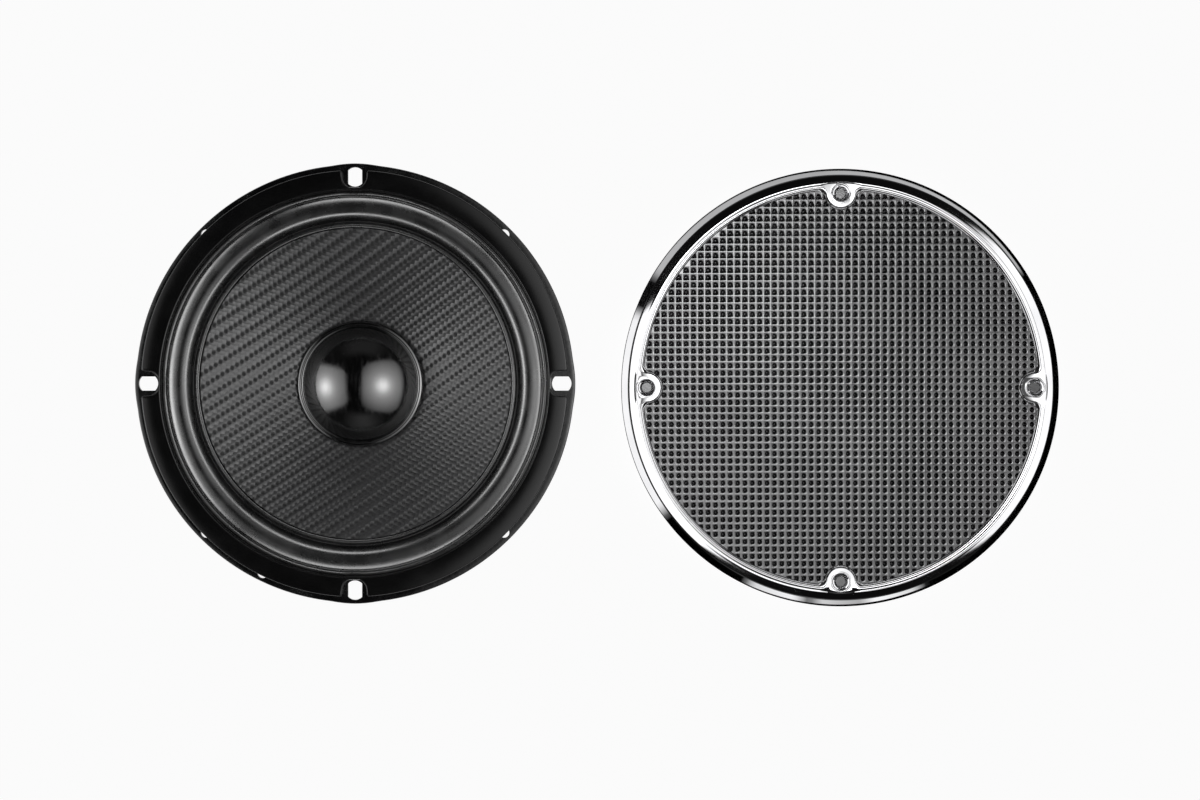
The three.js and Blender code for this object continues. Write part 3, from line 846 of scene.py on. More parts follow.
def surround():
    middle, reach = (ROLL_IN_R + ROLL_OUT_R) / 2, (ROLL_OUT_R - ROLL_IN_R) / 2
    lap = FLANGE_TOP + LAP_T / 2
    roll = []
    for angle in np.linspace(math.pi, 0, 30)[1:-1]:
        foot = VALLEY_Z + (lap - VALLEY_Z) * (1 + math.cos(angle)) / 2
        roll.append((middle + reach * math.cos(angle), foot + (ROLL_CREST_Z - foot) * math.sin(angle), 0))

    # an upright bead at the cone's edge, a valley, the roll, and a bead on the lap
    inner = [(57.3, 55.35), (59.15, 56.1, 0.3), (59.35, 58.0, 0.12), (60.15, 57.66, 0.15)]
    inner += [(60.6, VALLEY_Z, 0.4), (61.6, VALLEY_Z, 0.6)]
    outer = [(70.4, lap, 0.3), (71.2, lap, 0.4), (BEAD_R, lap + 0.5, 0.5), (72.4, lap, 0.4)]
    outer.append((LAP_R - LAP_T / 2, lap))
    line = rounded([*inner, *roll, *outer], steps=4, closed=False)
    piece = lathe("surround", sheet_section(line, LAP_T), finish["surround_rubber"], 384, sharp=50)

    # the bead outside the roll gives way a little to each screw
    points = read_points(piece)
    radius = plan_radius(points)
    near = np.exp(-(bolt_angle(points) / 2.6) ** 2) * np.exp(-((radius - BEAD_R) / 0.7) ** 2)
    points[:, :2] *= (1 - BEAD_GIVES * near / radius)[:, None]
    write_points(piece, points)
    bend_by_radius(piece, "surround")


def spider():
    (_, _, low), (outer, _, high) = span("spider")
    radii = np.linspace(SPIDER_IN_R, outer - SPIDER_T, 150)
    t = np.clip((radii - WAVE_R[0]) / (WAVE_R[1] - WAVE_R[0]), 0, 1)
    fade = np.clip(t * 12, 0, 1) * np.clip((1 - t) * 12, 0, 1)
    line = np.stack([radii, (low + high) / 2 - WAVE_HEIGHT * fade * np.sin(t * WAVES * TURN)], 1)
    piece = lathe("spider", sheet_section(line, SPIDER_T), finish["spider_cloth"], 256, sharp=50)
    bend_by_radius(piece, "spider")


# ---- motor ----

CHAMFER = 1.0
MAGNET_BORE_R = 22.5
PLATE_BORE_R = 13.95
POLE_R = 12.35


def motor():
    foot, top, plate_top = MAGNET_LOW[2], MAGNET_HIGH[2], PLATE_HIGH[2]
    outer, plate, back, pole_top = MAGNET_HIGH[0], PLATE_HIGH[0], YOKE_HIGH[0], YOKE_HIGH[2]
    magnet = [
        (MAGNET_BORE_R, foot, 0.2), (outer - CHAMFER, foot, 0.3), (outer, foot + CHAMFER, 0.3),
        (outer, top - CHAMFER, 0.3), (outer - CHAMFER, top, 0.3), (MAGNET_BORE_R, top, 0.2),
    ]
    top_plate = [(PLATE_BORE_R, top), (plate, top), (plate, plate_top), (PLATE_BORE_R, plate_top)]
    yoke = [
        (0, 0), (13, 0, 0.4), (14, 0.35, 0.4), (back - 6, 0.35, 0.4), (back - 5, 0, 0.4),
        (back - CHAMFER, 0, 0.4), (back, CHAMFER, 0.4), (back, foot, 0.3),
        (POLE_R + 1.4, foot, 0.8), (POLE_R, foot + 1.4, 0.8),
        (POLE_R, pole_top - CHAMFER, 0.3), (POLE_R - CHAMFER, pole_top, 0.3), (0, pole_top),
    ]
    sections = {
        "magnet": (rounded(magnet, steps=3), "ferrite"),
        "top_plate": (rounded(top_plate, 0.5), "zinc_steel"),
        "t_yoke": (rounded(yoke, closed=False), "zinc_steel"),
    }
    for name, (section, slot) in sections.items():
        place_on(lathe(name, section, finish[slot], 192), "chassis", slot, name)


# ---- cone, dust cap and voice coil ----

CONE_T = 0.8
CONE_LINE = [(13.35, 35.6), (18, 38.7, 6), (24, 41.9, 8), (38, 48.4, 30), (58.75, 56.92)]
CONE_SIDES = 1080
WEAVE_FROM_R = 21
WEAVE_TO_R = 58.8
WEAVE_STEP = 0.36
WEAVE_DEPTH = 0.08
CAP_DOME_R = 21.7
CAP_RISE = 10
CAP_BASE_Z = 44.2
CAP_T = 0.8
FORMER_T = 0.25
COIL_TURNS = 34


def twill_height(x, y):
    """The same twill as the material's, at plan points."""
    u, v = turned_by(np.stack([x, y], 1), -TOW_TURN).T / TOW_PITCH

    def tow(across, along, shift):
        wave = np.sin((along - np.floor(across) + shift) * math.pi / 2)
        return wave - TWILL_CROWN * (across % 1 - 0.5) ** 2

    return np.maximum(tow(u, v, WARP_SHIFT), tow(v, u, WEFT_SHIFT))


def cone():
    line = rounded(CONE_LINE, steps=10, closed=False)
    inner, outer, coarse = (resampled(line, step) for step in (3, WEAVE_STEP, 3.5))
    fine = np.concatenate([inner[inner[:, 0] < WEAVE_FROM_R], outer[outer[:, 0] >= WEAVE_FROM_R]])
    under, over = coarse - CONE_T / 2 * normals_of(coarse)[0], fine + CONE_T / 2 * normals_of(fine)[0]
    piece = lathe("cone", [*under, *over[::-1]], finish["cone_weave"], CONE_SIDES, sharp=50)

    # the weave, raised on the face and fading out at its two edges
    points = read_points(piece)
    radius = plan_radius(points)
    on_top = np.arange(len(points)) >= len(under) * CONE_SIDES
    fade = on_top * np.clip((radius - WEAVE_FROM_R) / 2, 0, 1) * np.clip((WEAVE_TO_R - radius) / 0.6, 0, 1)
    points[:, 2] += WEAVE_DEPTH * fade * (twill_height(points[:, 0], points[:, 1]) + 0.3)
    write_points(piece, points)
    place_on(piece, "cone_assembly", "cone_weave", "cone")


def dust_cap():
    sphere = (CAP_DOME_R ** 2 + CAP_RISE ** 2) / (2 * CAP_RISE)
    middle = CAP_BASE_Z + CAP_RISE - sphere
    dome = [(r, middle + math.sqrt(sphere ** 2 - r ** 2)) for r in np.linspace(0, CAP_DOME_R, 60)]
    rim = [(21.95, 0.05, 0.1), (22.15, 0.42, 0.2), (22.55, 0.42, 0.2)]
    rim += [(22.85, -0.1, 0.2), (23.5, -0.25, 0.2), (23.9, -0.9, 0)]
    rim = [(r, CAP_BASE_Z + z, bend) for r, z, bend in rim]
    rim = rounded([dome[-1], *rim], steps=5, closed=False)[1:]
    line = np.array([*dome, *rim])
    normal = normals_of(line)[0]
    normal[0] = (0, 1)
    section = [*(line - CAP_T / 2 * normal), *(line + CAP_T / 2 * normal)[::-1]]
    piece = lathe("dust_cap", section, finish["cap_gloss"], 320, sharp=40)
    place_on(piece, "cone_assembly", "cap_gloss", "dust_cap")


def voice_coil():
    (_, _, low), (former_out, _, high) = span("coil_former")
    inner = former_out - FORMER_T
    section = rounded([(inner, low), (former_out, low), (former_out, high), (inner, high)], 0.05, 2)
    former = lathe("coil_former", section, finish["former_aluminium"], 160)
    place_on(former, "cone_assembly", "former_aluminium", "coil_former")

    (_, _, low), (outer, _, high) = span("voice_coil")
    inner, radius = former_out + 0.03, (high - low) / COIL_TURNS / 2
    section = [(inner, low)]
    for i in range(COIL_TURNS):
        section += [*arc((outer - radius, low + radius * (2 * i + 1)), radius, -80, 80, 5)]
    coil = lathe("voice_coil", [*section, (inner, high)], finish["coil_copper"], 128, sharp=60)
    place_on(coil, "cone_assembly", "coil_copper", "voice_coil")


# ---- terminal board and leads ----

BOARD = (13, 26, 1.6)
BOARD_GAP = 0.45
BOARD_FACE = BOARD_GAP + BOARD[2]
BLADE_T = 0.8
BLADES = (("positive", 4.8, 4.2), ("negative", 2.8, -11))
BLADE_LENGTH = 8
BLADE_FOOT = 6
RIVET_AT = 2
HOLE_AT = 0.62
TIP_LENGTH = 1.6


def board_matrix():
    """x across the spoke, y up the wall, z away from the wall's outer face."""
    up = Vector((0, WALL_FOOT[0] - WALL_HEAD[0], WALL_HEAD[1] - WALL_FOOT[1])).normalized()
    out = Vector((0, -up.z, up.y))
    middle = Vector((0, -WALL_FOOT[0] - WALL_HEAD[0], WALL_FOOT[1] + WALL_HEAD[1])) / 2 + out * SHEET / 2
    matrix = Matrix((Vector((1, 0, 0)), up, out)).transposed().to_4x4()
    matrix.translation = middle
    return matrix


def terminal_blade(name, width, middle, board):
    """A bent blade: a foot on the board, and an upright tongue with a tapered tip and a hole."""
    reach = (BLADE_FOOT - BLADE_T) / 2
    heel, low, top = middle - reach, BOARD_FACE + BLADE_T / 2, BOARD_FACE + BLADE_LENGTH
    line = [(middle + reach, low), (heel, low, 1.2), (heel, top - BLADE_T / 2)]
    y, z = sheet_section(resampled(rounded(line, steps=6, closed=False), 0.4), BLADE_T, 3).T
    tip = np.clip((z - top) / TIP_LENGTH + 1, 0, 1)
    toe = np.clip(y - middle - BLADE_FOOT / 2 + 1, 0, 1)
    half = width / 2 * (1 - 0.3 * tip ** 2) * (1 - 0.2 * toe ** 2)
    loops = [np.stack([side * half, y, z], 1) for side in (1, 0.5, -0.5, -1)]
    blade = loft(name, loops, finish["terminal_tin"], closed=False)
    hole = circle(0.65 if width > 4 else 0.5, 0, 24)[:, :2]
    drill, faces = prism(hole, -2, 2)
    x, up, along = drill.T
    cut(blade, [(np.stack([x, heel + along, BOARD_FACE + HOLE_AT * BLADE_LENGTH - up], 1), faces)])
    place_on(placed(blade, board), "chassis", "terminal_tin", name)


def terminals():
    board = board_matrix()
    slab = block("terminal_board", BOARD, (0, 0, BOARD_GAP + BOARD[2] / 2), finish["board_phenolic"], 0.2)
    place_on(placed(slab, board), "chassis", "board_phenolic", "terminal_board")
    rivet_places = {"board_rivet": (0, BOARD_FACE)}
    for sign, width, along in BLADES:
        terminal_blade(f"terminal_{sign}", width, along + RIVET_AT / 2, board)
        rivet_places[f"terminal_rivet_{sign}"] = (along + RIVET_AT, BOARD_FACE + BLADE_T)
    for name, (along, face) in rivet_places.items():
        head = [(1.9, face, 0.15), (1.6, face + 0.6, 0.35), (0.8, face + 0.8, 0.4)]
        section = rounded([(0, BOARD_GAP), (1.1, BOARD_GAP), (1.1, face), *head], 0.05, closed=False)
        rivet = lathe(name, [*section, (0.5, face + 0.7), (0, face + 0.55)], finish["terminal_tin"], 40)
        write_points(rivet, read_points(rivet) + [0, along, 0])
        place_on(placed(rivet, board), "chassis", "terminal_tin", name)


LEAD_R = 0.6
LEAD_ROUTE = [
    (6.9, -58.7, 41.9), (9.8, -59.3, 43), (10.6, -56.5, 46.5), (9.6, -50, 46.6),
    (8, -42, 43.2), (6.8, -36, 40.6), (6.1, -32.4, 40.4), (6, -31, 41.9),
]
PAD_HALF_T = 0.75


def braid(distance, angle):
    """The crossing strands of a braided lead."""
    lay = 2.6
    left = np.abs(np.sin(4 * angle + distance * TURN / lay))
    right = np.abs(np.sin(4 * angle - distance * TURN / lay))
    return 0.09 * (np.maximum(left, right) - 1)


def leads():
    (foot_r, foot_z, _), (head_r, head_z, _) = CONE_LINE[2:4]
    slope = math.atan2(head_z - foot_z, head_r - foot_r)
    for sign, side in (("positive", 1), ("negative", -1)):
        route = smooth_path([(side * x, y, z) for x, y, z in LEAD_ROUTE], 0.12)
        lead = tube(f"lead_{sign}", route, LEAD_R, finish["lead_braid"], 32, braid)
        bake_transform(lead)
        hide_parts(f"lead_{sign}")

        # the lump of glue that holds it to the cone, flat to the cone's slope
        low, high = span(f"lead_pad_{sign}")
        centre, half = (low + high) / 2, (high - low) / 2
        shape = bmesh.new()
        bmesh.ops.create_icosphere(shape, subdivisions=4, radius=1)
        points, faces = taken(shape)
        lump = 1 + 0.05 * np.sin(5 * points[:, 0] + 2) * np.cos(4 * points[:, 1])
        flat = points * lump[:, None] * [half[0], half[0], PAD_HALF_T]
        spin = Matrix.Rotation(math.atan2(centre[1], centre[0]), 4, "Z") @ Matrix.Rotation(-slope, 4, "Y")
        spin.translation = Vector(centre)
        pad = placed(mesh_piece(f"lead_pad_{sign}", flat, faces, finish["pad_glue"]), spin)
        place_on(pad, "cone_assembly", "pad_glue", f"lead_pad_{sign}")


# ---- grille ----

BOSS_PAD_R = 5.6
BOSS_LIP_R = 6.7
FILLET_R = 2.5
POST_R = 4.1
POST_LOW_Z = 1.2
SCREW_HOLE_R = 1.7
COUNTERSINK_R = 3.6
COUNTERSINK_DEPTH = 2
BULGE_HALF = 7.6
FACE_R = 81.7
LIP_OUT_R = 80.6
LIP_IN_R = 79.2


def lobed(rim, lobe, fillet):
    """A circle that bulges inwards round each boss: a boss arc, a fillet and the rim's arc."""
    reach, far = rim - fillet, lobe + fillet
    cosine = (PITCH_CIRCLE_R ** 2 + reach ** 2 - far ** 2) / (2 * PITCH_CIRCLE_R * reach)
    turn = math.degrees(math.acos(cosine))
    centre = polar(reach, turn)
    to_boss = math.degrees(math.atan2(-centre[1], PITCH_CIRCLE_R - centre[0]))
    boss = arc((PITCH_CIRCLE_R, 0), lobe, 180, 180 + to_boss, 20)
    bend, rest = arc(centre, fillet, to_boss, turn, 10)[1:], arc((0, 0), rim, turn, 45, 60)[1:]
    return all_round(np.concatenate([boss, bend, rest]))


def inset_lobed(rim, lobe, inset):
    """A lobed outline moved by inset towards the ring's metal."""
    return lobed(rim + inset, lobe - inset, FILLET_R + inset)


def post_holes(radius, low, high):
    """Upright cylinders in the grille's place, one at each post."""
    hole = circle(radius, 0, 48)[:, :2]
    return [prism(shifted(hole, PITCH_CIRCLE_R, a) + GRILLE_AT[:2], low, high) for a in BOLT_ANGLES]


def grille_ring():
    plan = inset_lobed(LIP_IN_R, BOSS_LIP_R, 0)
    way = outwards(plan)
    away = PITCH_CIRCLE_R * np.radians(np.abs(bolt_angle(plan)))
    bulge = np.sqrt(np.clip(1 - (away / BULGE_HALF) ** 2, 0, 1))

    def round_loop(radius, height):
        return at_height(way * np.reshape(radius, (-1, 1)), height)

    # the outer wall, the bevel and the face, rounded where they meet
    wall = [(85.4, 0.4), (85.8, 0), (RIM_R - 0.4, 0), (RIM_R, 0.4), (RIM_R, 10.2, 0.6), (85.15, 13.1, 1.8)]
    wall += [(83, 13.43, 1.5), (82.3, 13.56, 0.3)]
    loops = [round_loop(r, z) for r, z in rounded(wall, 0.2, 5, closed=False)]

    # a step that runs round the face's inner edge and outside each boss
    edge = FACE_R + 0.5 * bulge
    for inset, drop in ((0, 0.06), (0.2, 0.13), (0.65, 0.44)):
        loops.append(round_loop(edge - inset, RIM_TOP - drop))
    for inset, drop in ((0.12, 0.45), (0.04, 0.36), (-0.06, 0.22), (-0.22, 0.16)):
        outline = inset_lobed(LIP_OUT_R, BOSS_PAD_R, max(inset, 0))
        shape = outline * (1 + min(inset, 0) / plan_radius(outline))[:, None]
        loops.append(at_height(shape, RIM_TOP - drop))

    # the lip that slopes to the mesh, then the hidden underside
    for t in np.linspace(0.2, 1, 7):
        rim = LIP_IN_R + (LIP_OUT_R - LIP_IN_R - 0.25) * (1 - t)
        lobe = BOSS_LIP_R + (BOSS_PAD_R - BOSS_LIP_R) * (1 - t)
        loops.append(at_height(lobed(rim, lobe, FILLET_R), RIM_TOP - 0.14 - 1.05 * t ** 1.6))
    loops.append(at_height(inset_lobed(LIP_IN_R, BOSS_LIP_R, 0.06), SHEET_TOP_Z + 0.05))
    loops += [round_loop(83.6, SHEET_TOP_Z + 0.02), round_loop(85.4, 10.4)]
    ring = loft("grille_ring", loops, finish["grille_chrome"], sharp=38)
    write_points(ring, read_points(ring) + GRILLE_AT)
    cut(ring, post_holes(POST_R - 0.1, 8, 16), 38)
    place_on(ring, "grille", "grille_chrome", "grille_ring")

    # the screw posts under the bosses, each with a countersunk hole
    top, sunk = RIM_TOP - 0.05, COUNTERSINK_DEPTH
    section = [(SCREW_HOLE_R, POST_LOW_Z, 0.15), (POST_R, POST_LOW_Z, 0.3), (POST_R, top + 0.2, 0.3)]
    section += [(COUNTERSINK_R, top + 0.2, 0.2), (COUNTERSINK_R - 0.35, top - 0.3, 0.2)]
    section += [(2.7, top - 0.45, 0.25), (2.3, top - 0.6 * sunk, 0.15)]
    section += [(SCREW_HOLE_R + 0.2, top - 0.7 * sunk, 0.15), (SCREW_HOLE_R, top - sunk, 0.1)]
    section = rounded(section)
    for i, angle in enumerate(BOLT_ANGLES):
        centre = tuple(GRILLE_AT[:2] + polar(PITCH_CIRCLE_R, angle))
        post = lathe(f"grille_post_{i + 1}", section, finish["grille_chrome"], 64, centre, 38)
        place_on(post, "grille", "grille_chrome")


DIMPLE_PITCH = 2.95
DIMPLE_SIDES = 12
SHEET_OUT_R = 83
DIMPLES_WITHIN_R = 80.2
RETAINER_IN_R = 80.6
POST_CLEAR_R = 4.55
BLISTER_R = 1.05
BLISTER_DEPTH = 1.35
DIMPLE = ((1.0, 0), (0.94, 0.05), (0.87, 0.18), (0.84, 0.75), (0.46, 1.38), (0.1, 1.95))


def grille_sheet():
    """A sheet embossed cell by cell on a square grid, with blind dimples that bulge from its back."""
    ring = arc((0, 0), 1, 180 / DIMPLE_SIDES, 360 - 180 / DIMPLE_SIDES, DIMPLE_SIDES - 1)
    square = ring / np.max(np.abs(ring), axis=1)[:, None] * DIMPLE_PITCH / 2
    bowl = [(ring * r, SHEET_TOP_Z - depth) for r, depth in DIMPLE]
    blister = (ring * BLISTER_R, SHEET_LOW_Z - BLISTER_DEPTH)
    cell = [(square, SHEET_TOP_Z), *bowl, None, blister, (square, SHEET_LOW_Z)]
    cells = range(-int(SHEET_OUT_R / DIMPLE_PITCH) - 1, int(SHEET_OUT_R / DIMPLE_PITCH) + 2)
    known, points, faces = {}, [], []

    def point(x, y, z):
        key = (round(x, 3), round(y, 3), round(z, 3))
        if key not in known:
            known[key] = len(points)
            points.append((x, y, z))
        return known[key]

    for column, row in itertools.product(cells, cells):
        centre = np.array([column, row]) * DIMPLE_PITCH
        corners = plan_radius(centre + square)
        if corners.min() > SHEET_OUT_R - 0.3:
            continue
        if corners.max() > DIMPLES_WITHIN_R + DIMPLE_PITCH / 2:
            top, under = [[point(*(centre + p), z) for p in square] for z in (SHEET_TOP_Z, SHEET_LOW_Z)]
            faces += [tuple(top), tuple(reversed(under))]
            continue
        loops = [part and [point(*(centre + p), part[1]) for p in part[0]] for part in cell]
        for a, b in zip(loops, loops[1:]):
            if a and b:
                faces += [(a[k - 1], a[k], b[k], b[k - 1]) for k in range(DIMPLE_SIDES)]
            else:
                faces.append(tuple(a or reversed(b)))
    points = np.array(points)

    # trim the stepped boundary to a circle, and stand clear of the posts
    points[:, :2] *= np.minimum(1, SHEET_OUT_R / np.maximum(plan_radius(points), 1))[:, None]
    for a in BOLT_ANGLES:
        centre = polar(PITCH_CIRCLE_R, a)
        offset = points[:, :2] - centre
        away = plan_radius(offset)
        near = away < POST_CLEAR_R
        points[near, :2] = centre + offset[near] / np.maximum(away[near], 0.01)[:, None] * POST_CLEAR_R
    skin(points, faces)


def skin(points, faces):
    """Closes the sheet's edge between its two sides, and makes the object."""
    seen = set()
    for face in faces:
        seen.update(zip(face, face[1:] + face[:1]))
    place = [(round(x, 3), round(y, 3)) for x, y, _ in points]
    low = {place[i]: i for i in np.flatnonzero(abs(points[:, 2] - SHEET_LOW_Z) < TINY).tolist()}
    on_top = abs(points[:, 2] - SHEET_TOP_Z) < TINY
    edges = [(a, b) for a, b in sorted(seen) if (b, a) not in seen and on_top[a] and on_top[b]]
    walls = [(b, a, low[place[a]], low[place[b]]) for a, b in edges if place[a] in low and place[b] in low]
    sheet = mesh_piece("grille_sheet", points + GRILLE_AT, [*faces, *walls], finish["grille_black"], 50)
    place_on(sheet, "grille", "grille_black", "grille_sheet")


def grille_retainer():
    low, high = span("grille_retainer")
    outer = (high[0] - low[0]) / 2
    section = [(RETAINER_IN_R, low[2]), (outer, low[2]), (outer, high[2]), (RETAINER_IN_R, high[2])]
    section = rounded(section, steps=3)
    retainer = lathe("grille_retainer", section, finish["grille_black"], 256, tuple(GRILLE_AT[:2]))
    cut(retainer, post_holes(POST_R + 0.5, low[2] - 1, high[2] + 1))
    place_on(retainer, "grille", "grille_black", "grille_retainer")


# ---- studio ----

CAP_CENTRE = Vector((0, 0, 54))
BOX_DISTANCE = 600
OVERHEAD_Z = 500
TENT_LEVEL = 7.5
TENT_REACH = 600
TENT_Z = (210, 310, 440, 580)
TENT_SIDES = ((309, 47), (54, 112), (135, 220), (232, 300))


def lit_by(name, pieces):
    """A group of pieces that a card's light reaches."""
    group = bpy.data.collections.new(name)
    for piece in pieces:
        group.objects.link(piece)
    return group


class Glow(Look):
    """A material that only shines. A clear one lets everything behind it through."""

    def __init__(self, name, clear=True):
        self.material = bpy.data.materials.new(name)
        self.material.use_nodes = True
        self.tree = self.material.node_tree
        self.tree.nodes.remove(self.tree.nodes["Principled BSDF"])
        self.shader = self.node("Emission")
        surface = self.shader.outputs[0]
        if clear:
            behind = self.node("BsdfTransparent").outputs[0]
            surface = self.node("AddShader", {0: surface, 1: behind}).outputs[0]
        self.feed(self.tree.nodes["Material Output"].inputs["Surface"], surface)
        self.place = self.node("TexCoord").outputs["Object"]
        self.x, self.y, self.z = self.node("SeparateXYZ", {"Vector": self.place}).outputs

    def ramp(self, value, stops):
        """A level for a value from 0 to 1, straight between stops of (value, level)."""
        node = self.node("FloatCurve", {"Value": value})
        curve = node.mapping.curves[0]
        top = max(level for _, level in stops)
        while len(curve.points) < len(stops):
            curve.points.new(0.5, 0.5)
        for point, (at, level) in zip(curve.points, stops):
            point.location, point.handle_type = (at, level / top), "VECTOR"
        node.mapping.update()
        return self.times(node.outputs[0], top)

    def hill(self, x, y, size_x, size_y):
        """1 at a point on the card, falling away smoothly."""
        u = self.over(self.minus(self.x, x * MM), size_x * MM)
        v = self.over(self.minus(self.y, y * MM), size_y * MM)
        return self.math("POWER", math.e, self.times(self.plus(self.times(u, u), self.times(v, v)), -1))

    def faded(self, level, u_range, v_range, width, outside=0.0):
        """The level, fading over a width inside the card's edges."""
        for axis, (low, high) in ((self.x, u_range), (self.y, v_range)):
            for end, inward in ((low, width), (high, -width)):
                level = self.times(level, self.between(axis, end * MM, (end + inward) * MM, outside, 1))
        return level


def card(name, points, faces, look, level, group, reflected_only=False):
    """A shining card that the camera doesn't see."""
    look.set("Strength", level)
    piece = mesh_piece(name, points, faces, look.material)
    piece.visible_camera = False
    if reflected_only:
        piece.visible_diffuse = piece.visible_shadow = piece.visible_transmission = False
    piece.light_linking.receiver_collection = group
    return piece


def soft_box(name, way, u_range, v_range, hot, levels, group):
    """A soft box that faces the dust cap, brightest near its lamp, with soft edges and cut corners."""
    facing = Vector(way).normalized()
    across = Vector((0, 1, 0)).cross(facing).normalized()
    look = Glow(name)
    wide, lamp = look.hill(*hot, 420, 420), look.hill(*hot, 115, 115)
    level = look.plus(look.times(wide, levels[0]), look.times(lamp, levels[1]))
    (u0, u1), (v0, v1) = u_range, v_range
    cut_u, cut_v = 0.2 * (u1 - u0), 0.2 * (v1 - v0)
    outline = [
        (u0 + cut_u, v0), (u1 - cut_u, v0), (u1, v0 + cut_v), (u1, v1 - cut_v),
        (u1 - cut_u, v1), (u0 + cut_u, v1), (u0, v1 - cut_v), (u0, v0 + cut_v),
    ]
    level = look.faded(level, u_range, v_range, 80, 0.1)
    box = card(name, at_height(outline, 0), [tuple(range(8))], look, level, group)
    turn = Matrix((across, facing.cross(across), facing)).transposed().to_4x4()
    turn.translation = (CAP_CENTRE + facing * BOX_DISTANCE) * MM
    box.matrix_world = turn


def overhead_card(look, x_range, y_range, level, group):
    """A level card over the grille, for reflections only."""
    (x0, x1), (y0, y1) = x_range, y_range
    points = at_height([(x0, y0), (x0, y1), (x1, y1), (x1, y0)], OVERHEAD_Z)
    card(look.material.name, points, [(0, 1, 2, 3)], look, level, group, True)


def by_compass(look, x, y, stops):
    """A level for the direction of a point in plan, straight between stops of (degrees, level)."""
    share = look.math("FRACT", look.plus(look.over(look.math("ARCTAN2", y, x), TURN), 1))
    return look.ramp(share, [(degrees / 360, level) for degrees, level in stops])


def round_card(name, centre, radius, low, high, dark_below, stops, group):
    """A low wall round a centre, for reflections only, with its brightness by compass angle."""
    look = Glow(name, False)
    lit = look.math("GREATER_THAN", look.z, dark_below * MM)
    level = look.times(by_compass(look, look.x, look.y, stops), lit)
    rings = [circle(radius, z, 96) for z in (low, high)]
    faces = [face[::-1] for face in bands((0, 96), 96)]
    wall = card(name, np.concatenate(rings), faces, look, level, group, True)
    wall.location = (centre[0] * MM, centre[1] * MM, 0)


def tent(group):
    """Four upright strips, each between two compass angles, that show in the surround's roll."""
    low, full, fading, high = TENT_Z
    points = []
    for k, ends in enumerate(TENT_SIDES):
        a, b = (polar(TENT_REACH / math.cos(math.radians(end - 90 * k)), end) for end in ends)
        points += [(*a, low), (*b, low), (*b, high), (*a, high)]
    faces = [tuple(range(4 * k, 4 * k + 4)) for k in QUADRANTS]
    look = Glow("light_tent")
    rise = look.between(look.z, low * MM, full * MM, 0, 1)
    fall = look.between(look.z, fading * MM, high * MM, 1, 0)
    card("light_tent", points, faces, look, look.times(look.times(rise, fall), TENT_LEVEL), group, True)


# compass stops of (degrees, level): the wall round the grille, the studio's horizon, and its two ends
GRILLE_WALL = [
    (0, 0), (31, 0), (34, 0.5), (60, 0.62), (100, 0.5), (147, 0.6), (150, 0), (158, 0), (161, 1.2),
    (213, 1.2), (217, 0), (244, 0), (247, 0.9), (258, 1.2), (262, 0.1), (266, 0.8), (276, 0.5), (280, 1.2),
    (290, 0.9), (294, 0), (360, 0),
]
HORIZON = [
    (0, 1.2), (44, 1.3), (48, 0.1), (54, 0.1), (58, 1.2), (110, 1.1), (114, 0.1), (134, 0.1), (138, 1.1),
    (216, 1.3), (220, 0.1), (232, 0.1), (236, 1.2), (297, 1.0), (301, 0.1), (309, 0.1), (313, 1.1),
    (360, 1.2),
]
ENDS = [
    (0, 0), (45, 0), (75, 0.07), (105, 0.07), (135, 0),
    (235, 0), (265, 0.13), (275, 0.13), (305, 0), (360, 0),
]


def paper():
    """A level floor of white paper that glows, so that nothing casts a dark shadow on it."""
    look = Look("white_paper", (0.12, 0.12, 0.12), 0.9)
    look.set("Emission Color", (1, 1, 1, 1))
    look.set("Emission Strength", 0.96)
    corners = at_height([(-3000, -3000), (3000, -3000), (3000, 3000), (-3000, 3000)], 0)
    mesh_piece("floor", corners, [(0, 1, 2, 3)], look.material)


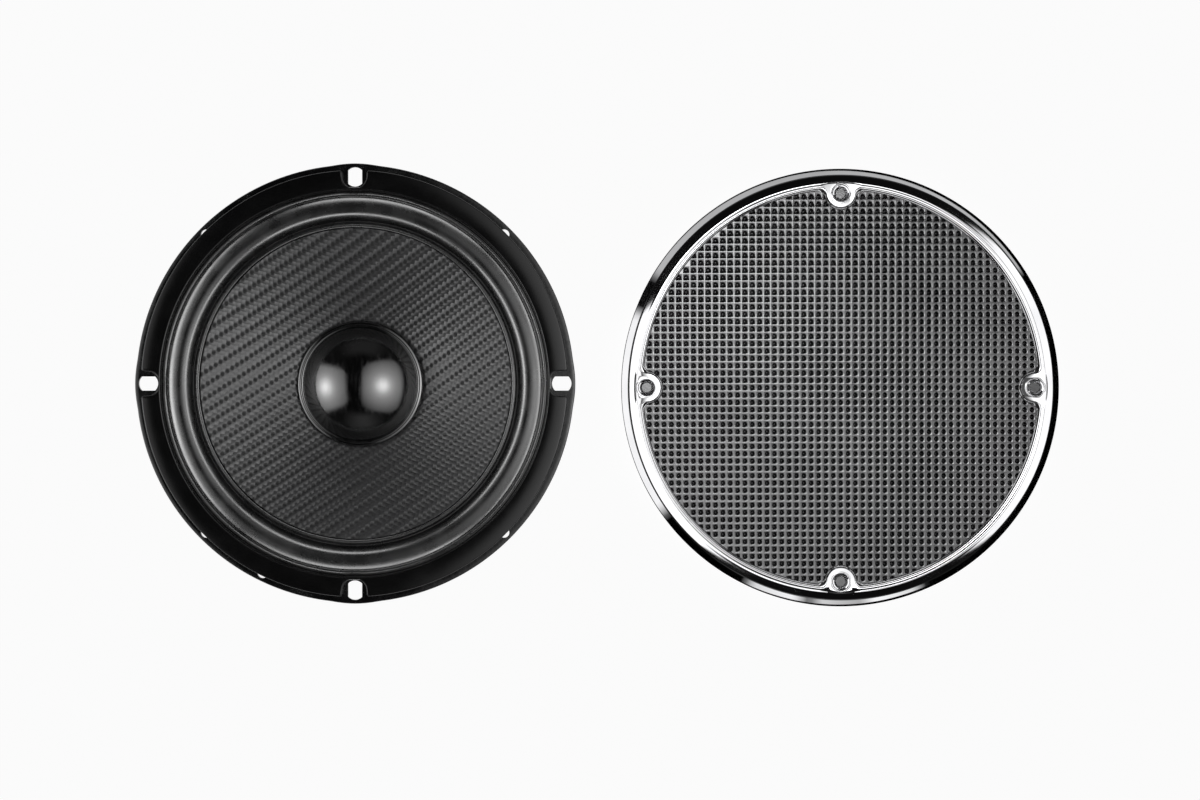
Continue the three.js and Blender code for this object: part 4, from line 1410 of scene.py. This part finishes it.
def sky():
    """White to the camera. To everything else it is dark, with a lit horizon and two dim ends."""
    world = bpy.data.worlds.new("studio")
    bpy.context.scene.world = world
    world.use_nodes = True
    look = Glow.__new__(Glow)
    look.tree = world.node_tree
    way = look.node("TexCoord").outputs["Generated"]
    x, y, height = look.node("SeparateXYZ", {"Vector": way}).outputs
    horizon = look.times(by_compass(look, x, y, HORIZON), look.between(height, 0.07, 0.13, 1, 0))
    band = look.times(look.between(height, 0.27, 0.36, 0, 1), look.between(height, 0.6, 0.75, 1, 0))
    ends = look.times(by_compass(look, x, y, ENDS), band)
    level = look.math("MAXIMUM", look.between(height, 0.2, 0.9, 0.02, 0.004), ends)
    level = look.math("MAXIMUM", level, horizon)
    level = look.math("MAXIMUM", level, look.node("LightPath").outputs["Is Camera Ray"])
    background = world.node_tree.nodes["Background"]
    look.feed(background.inputs["Strength"], level)
    background.inputs["Color"].default_value = (1, 1, 1, 1)


def studio():
    pieces = [o for o in bpy.data.objects if o.type == "MESH" and "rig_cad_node" not in o]
    grille = lit_by("lit_grille", [o for o in pieces if o.name.startswith("grille")])
    speaker = lit_by("lit_speaker", [o for o in pieces if not o.name.startswith("grille")])
    not_the_cone = lit_by("lit_not_cone", [o for o in speaker.objects if o.name != "cone"])
    surround_only = lit_by("lit_surround", [o for o in pieces if o.name.startswith("surround")])
    left, right = (-0.867, -0.089, 0.49), (0.642, -0.019, 0.766)
    soft_box("light_left", left, (-360, 480), (-380, 380), (19, 8), (1.6, 3.3), not_the_cone)
    soft_box("light_right", right, (-536, 340), (-580, 490), (-65, -13), (1.6, 3.2), speaker)

    look = Glow("light_over_grille")
    lamp = look.plus(1.5, look.times(look.hill(165, 95, 90, 65), 6))
    lamp = look.times(lamp, look.between(look.x, 225 * MM, 372 * MM, 1, 0.03))
    overhead_card(look, (-120, 374), (-250, 126), look.faded(lamp, (-120, 500), (-250, 126), 10), grille)
    look = Glow("light_beside_grille")
    overhead_card(look, (376, 760), (-245, 245), look.faded(1.3, (376, 760), (-245, 245), 20), grille)
    round_card("light_round_grille", GRILLE_AT, 95, 0, 15.5, 9.9, GRILLE_WALL, grille)
    tent(surround_only)
    paper()
    sky()


def camera():
    data = bpy.data.cameras.new("camera")
    data.lens, data.sensor_width = 57.6, 36
    data.clip_start, data.clip_end = 0.01, 20
    eye = bpy.data.objects.new("camera", data)
    eye.location = (0.0922, -0.0062, 0.782)
    bpy.context.scene.collection.objects.link(eye)
    bpy.context.scene.camera = eye
    bpy.context.scene.view_settings.view_transform = "Standard"


basket()
basket_rivets()
front_gasket()
surround()
spider()
motor()
cone()
dust_cap()
voice_coil()
terminals()
leads()
grille_ring()
grille_sheet()
grille_retainer()
studio()
camera()
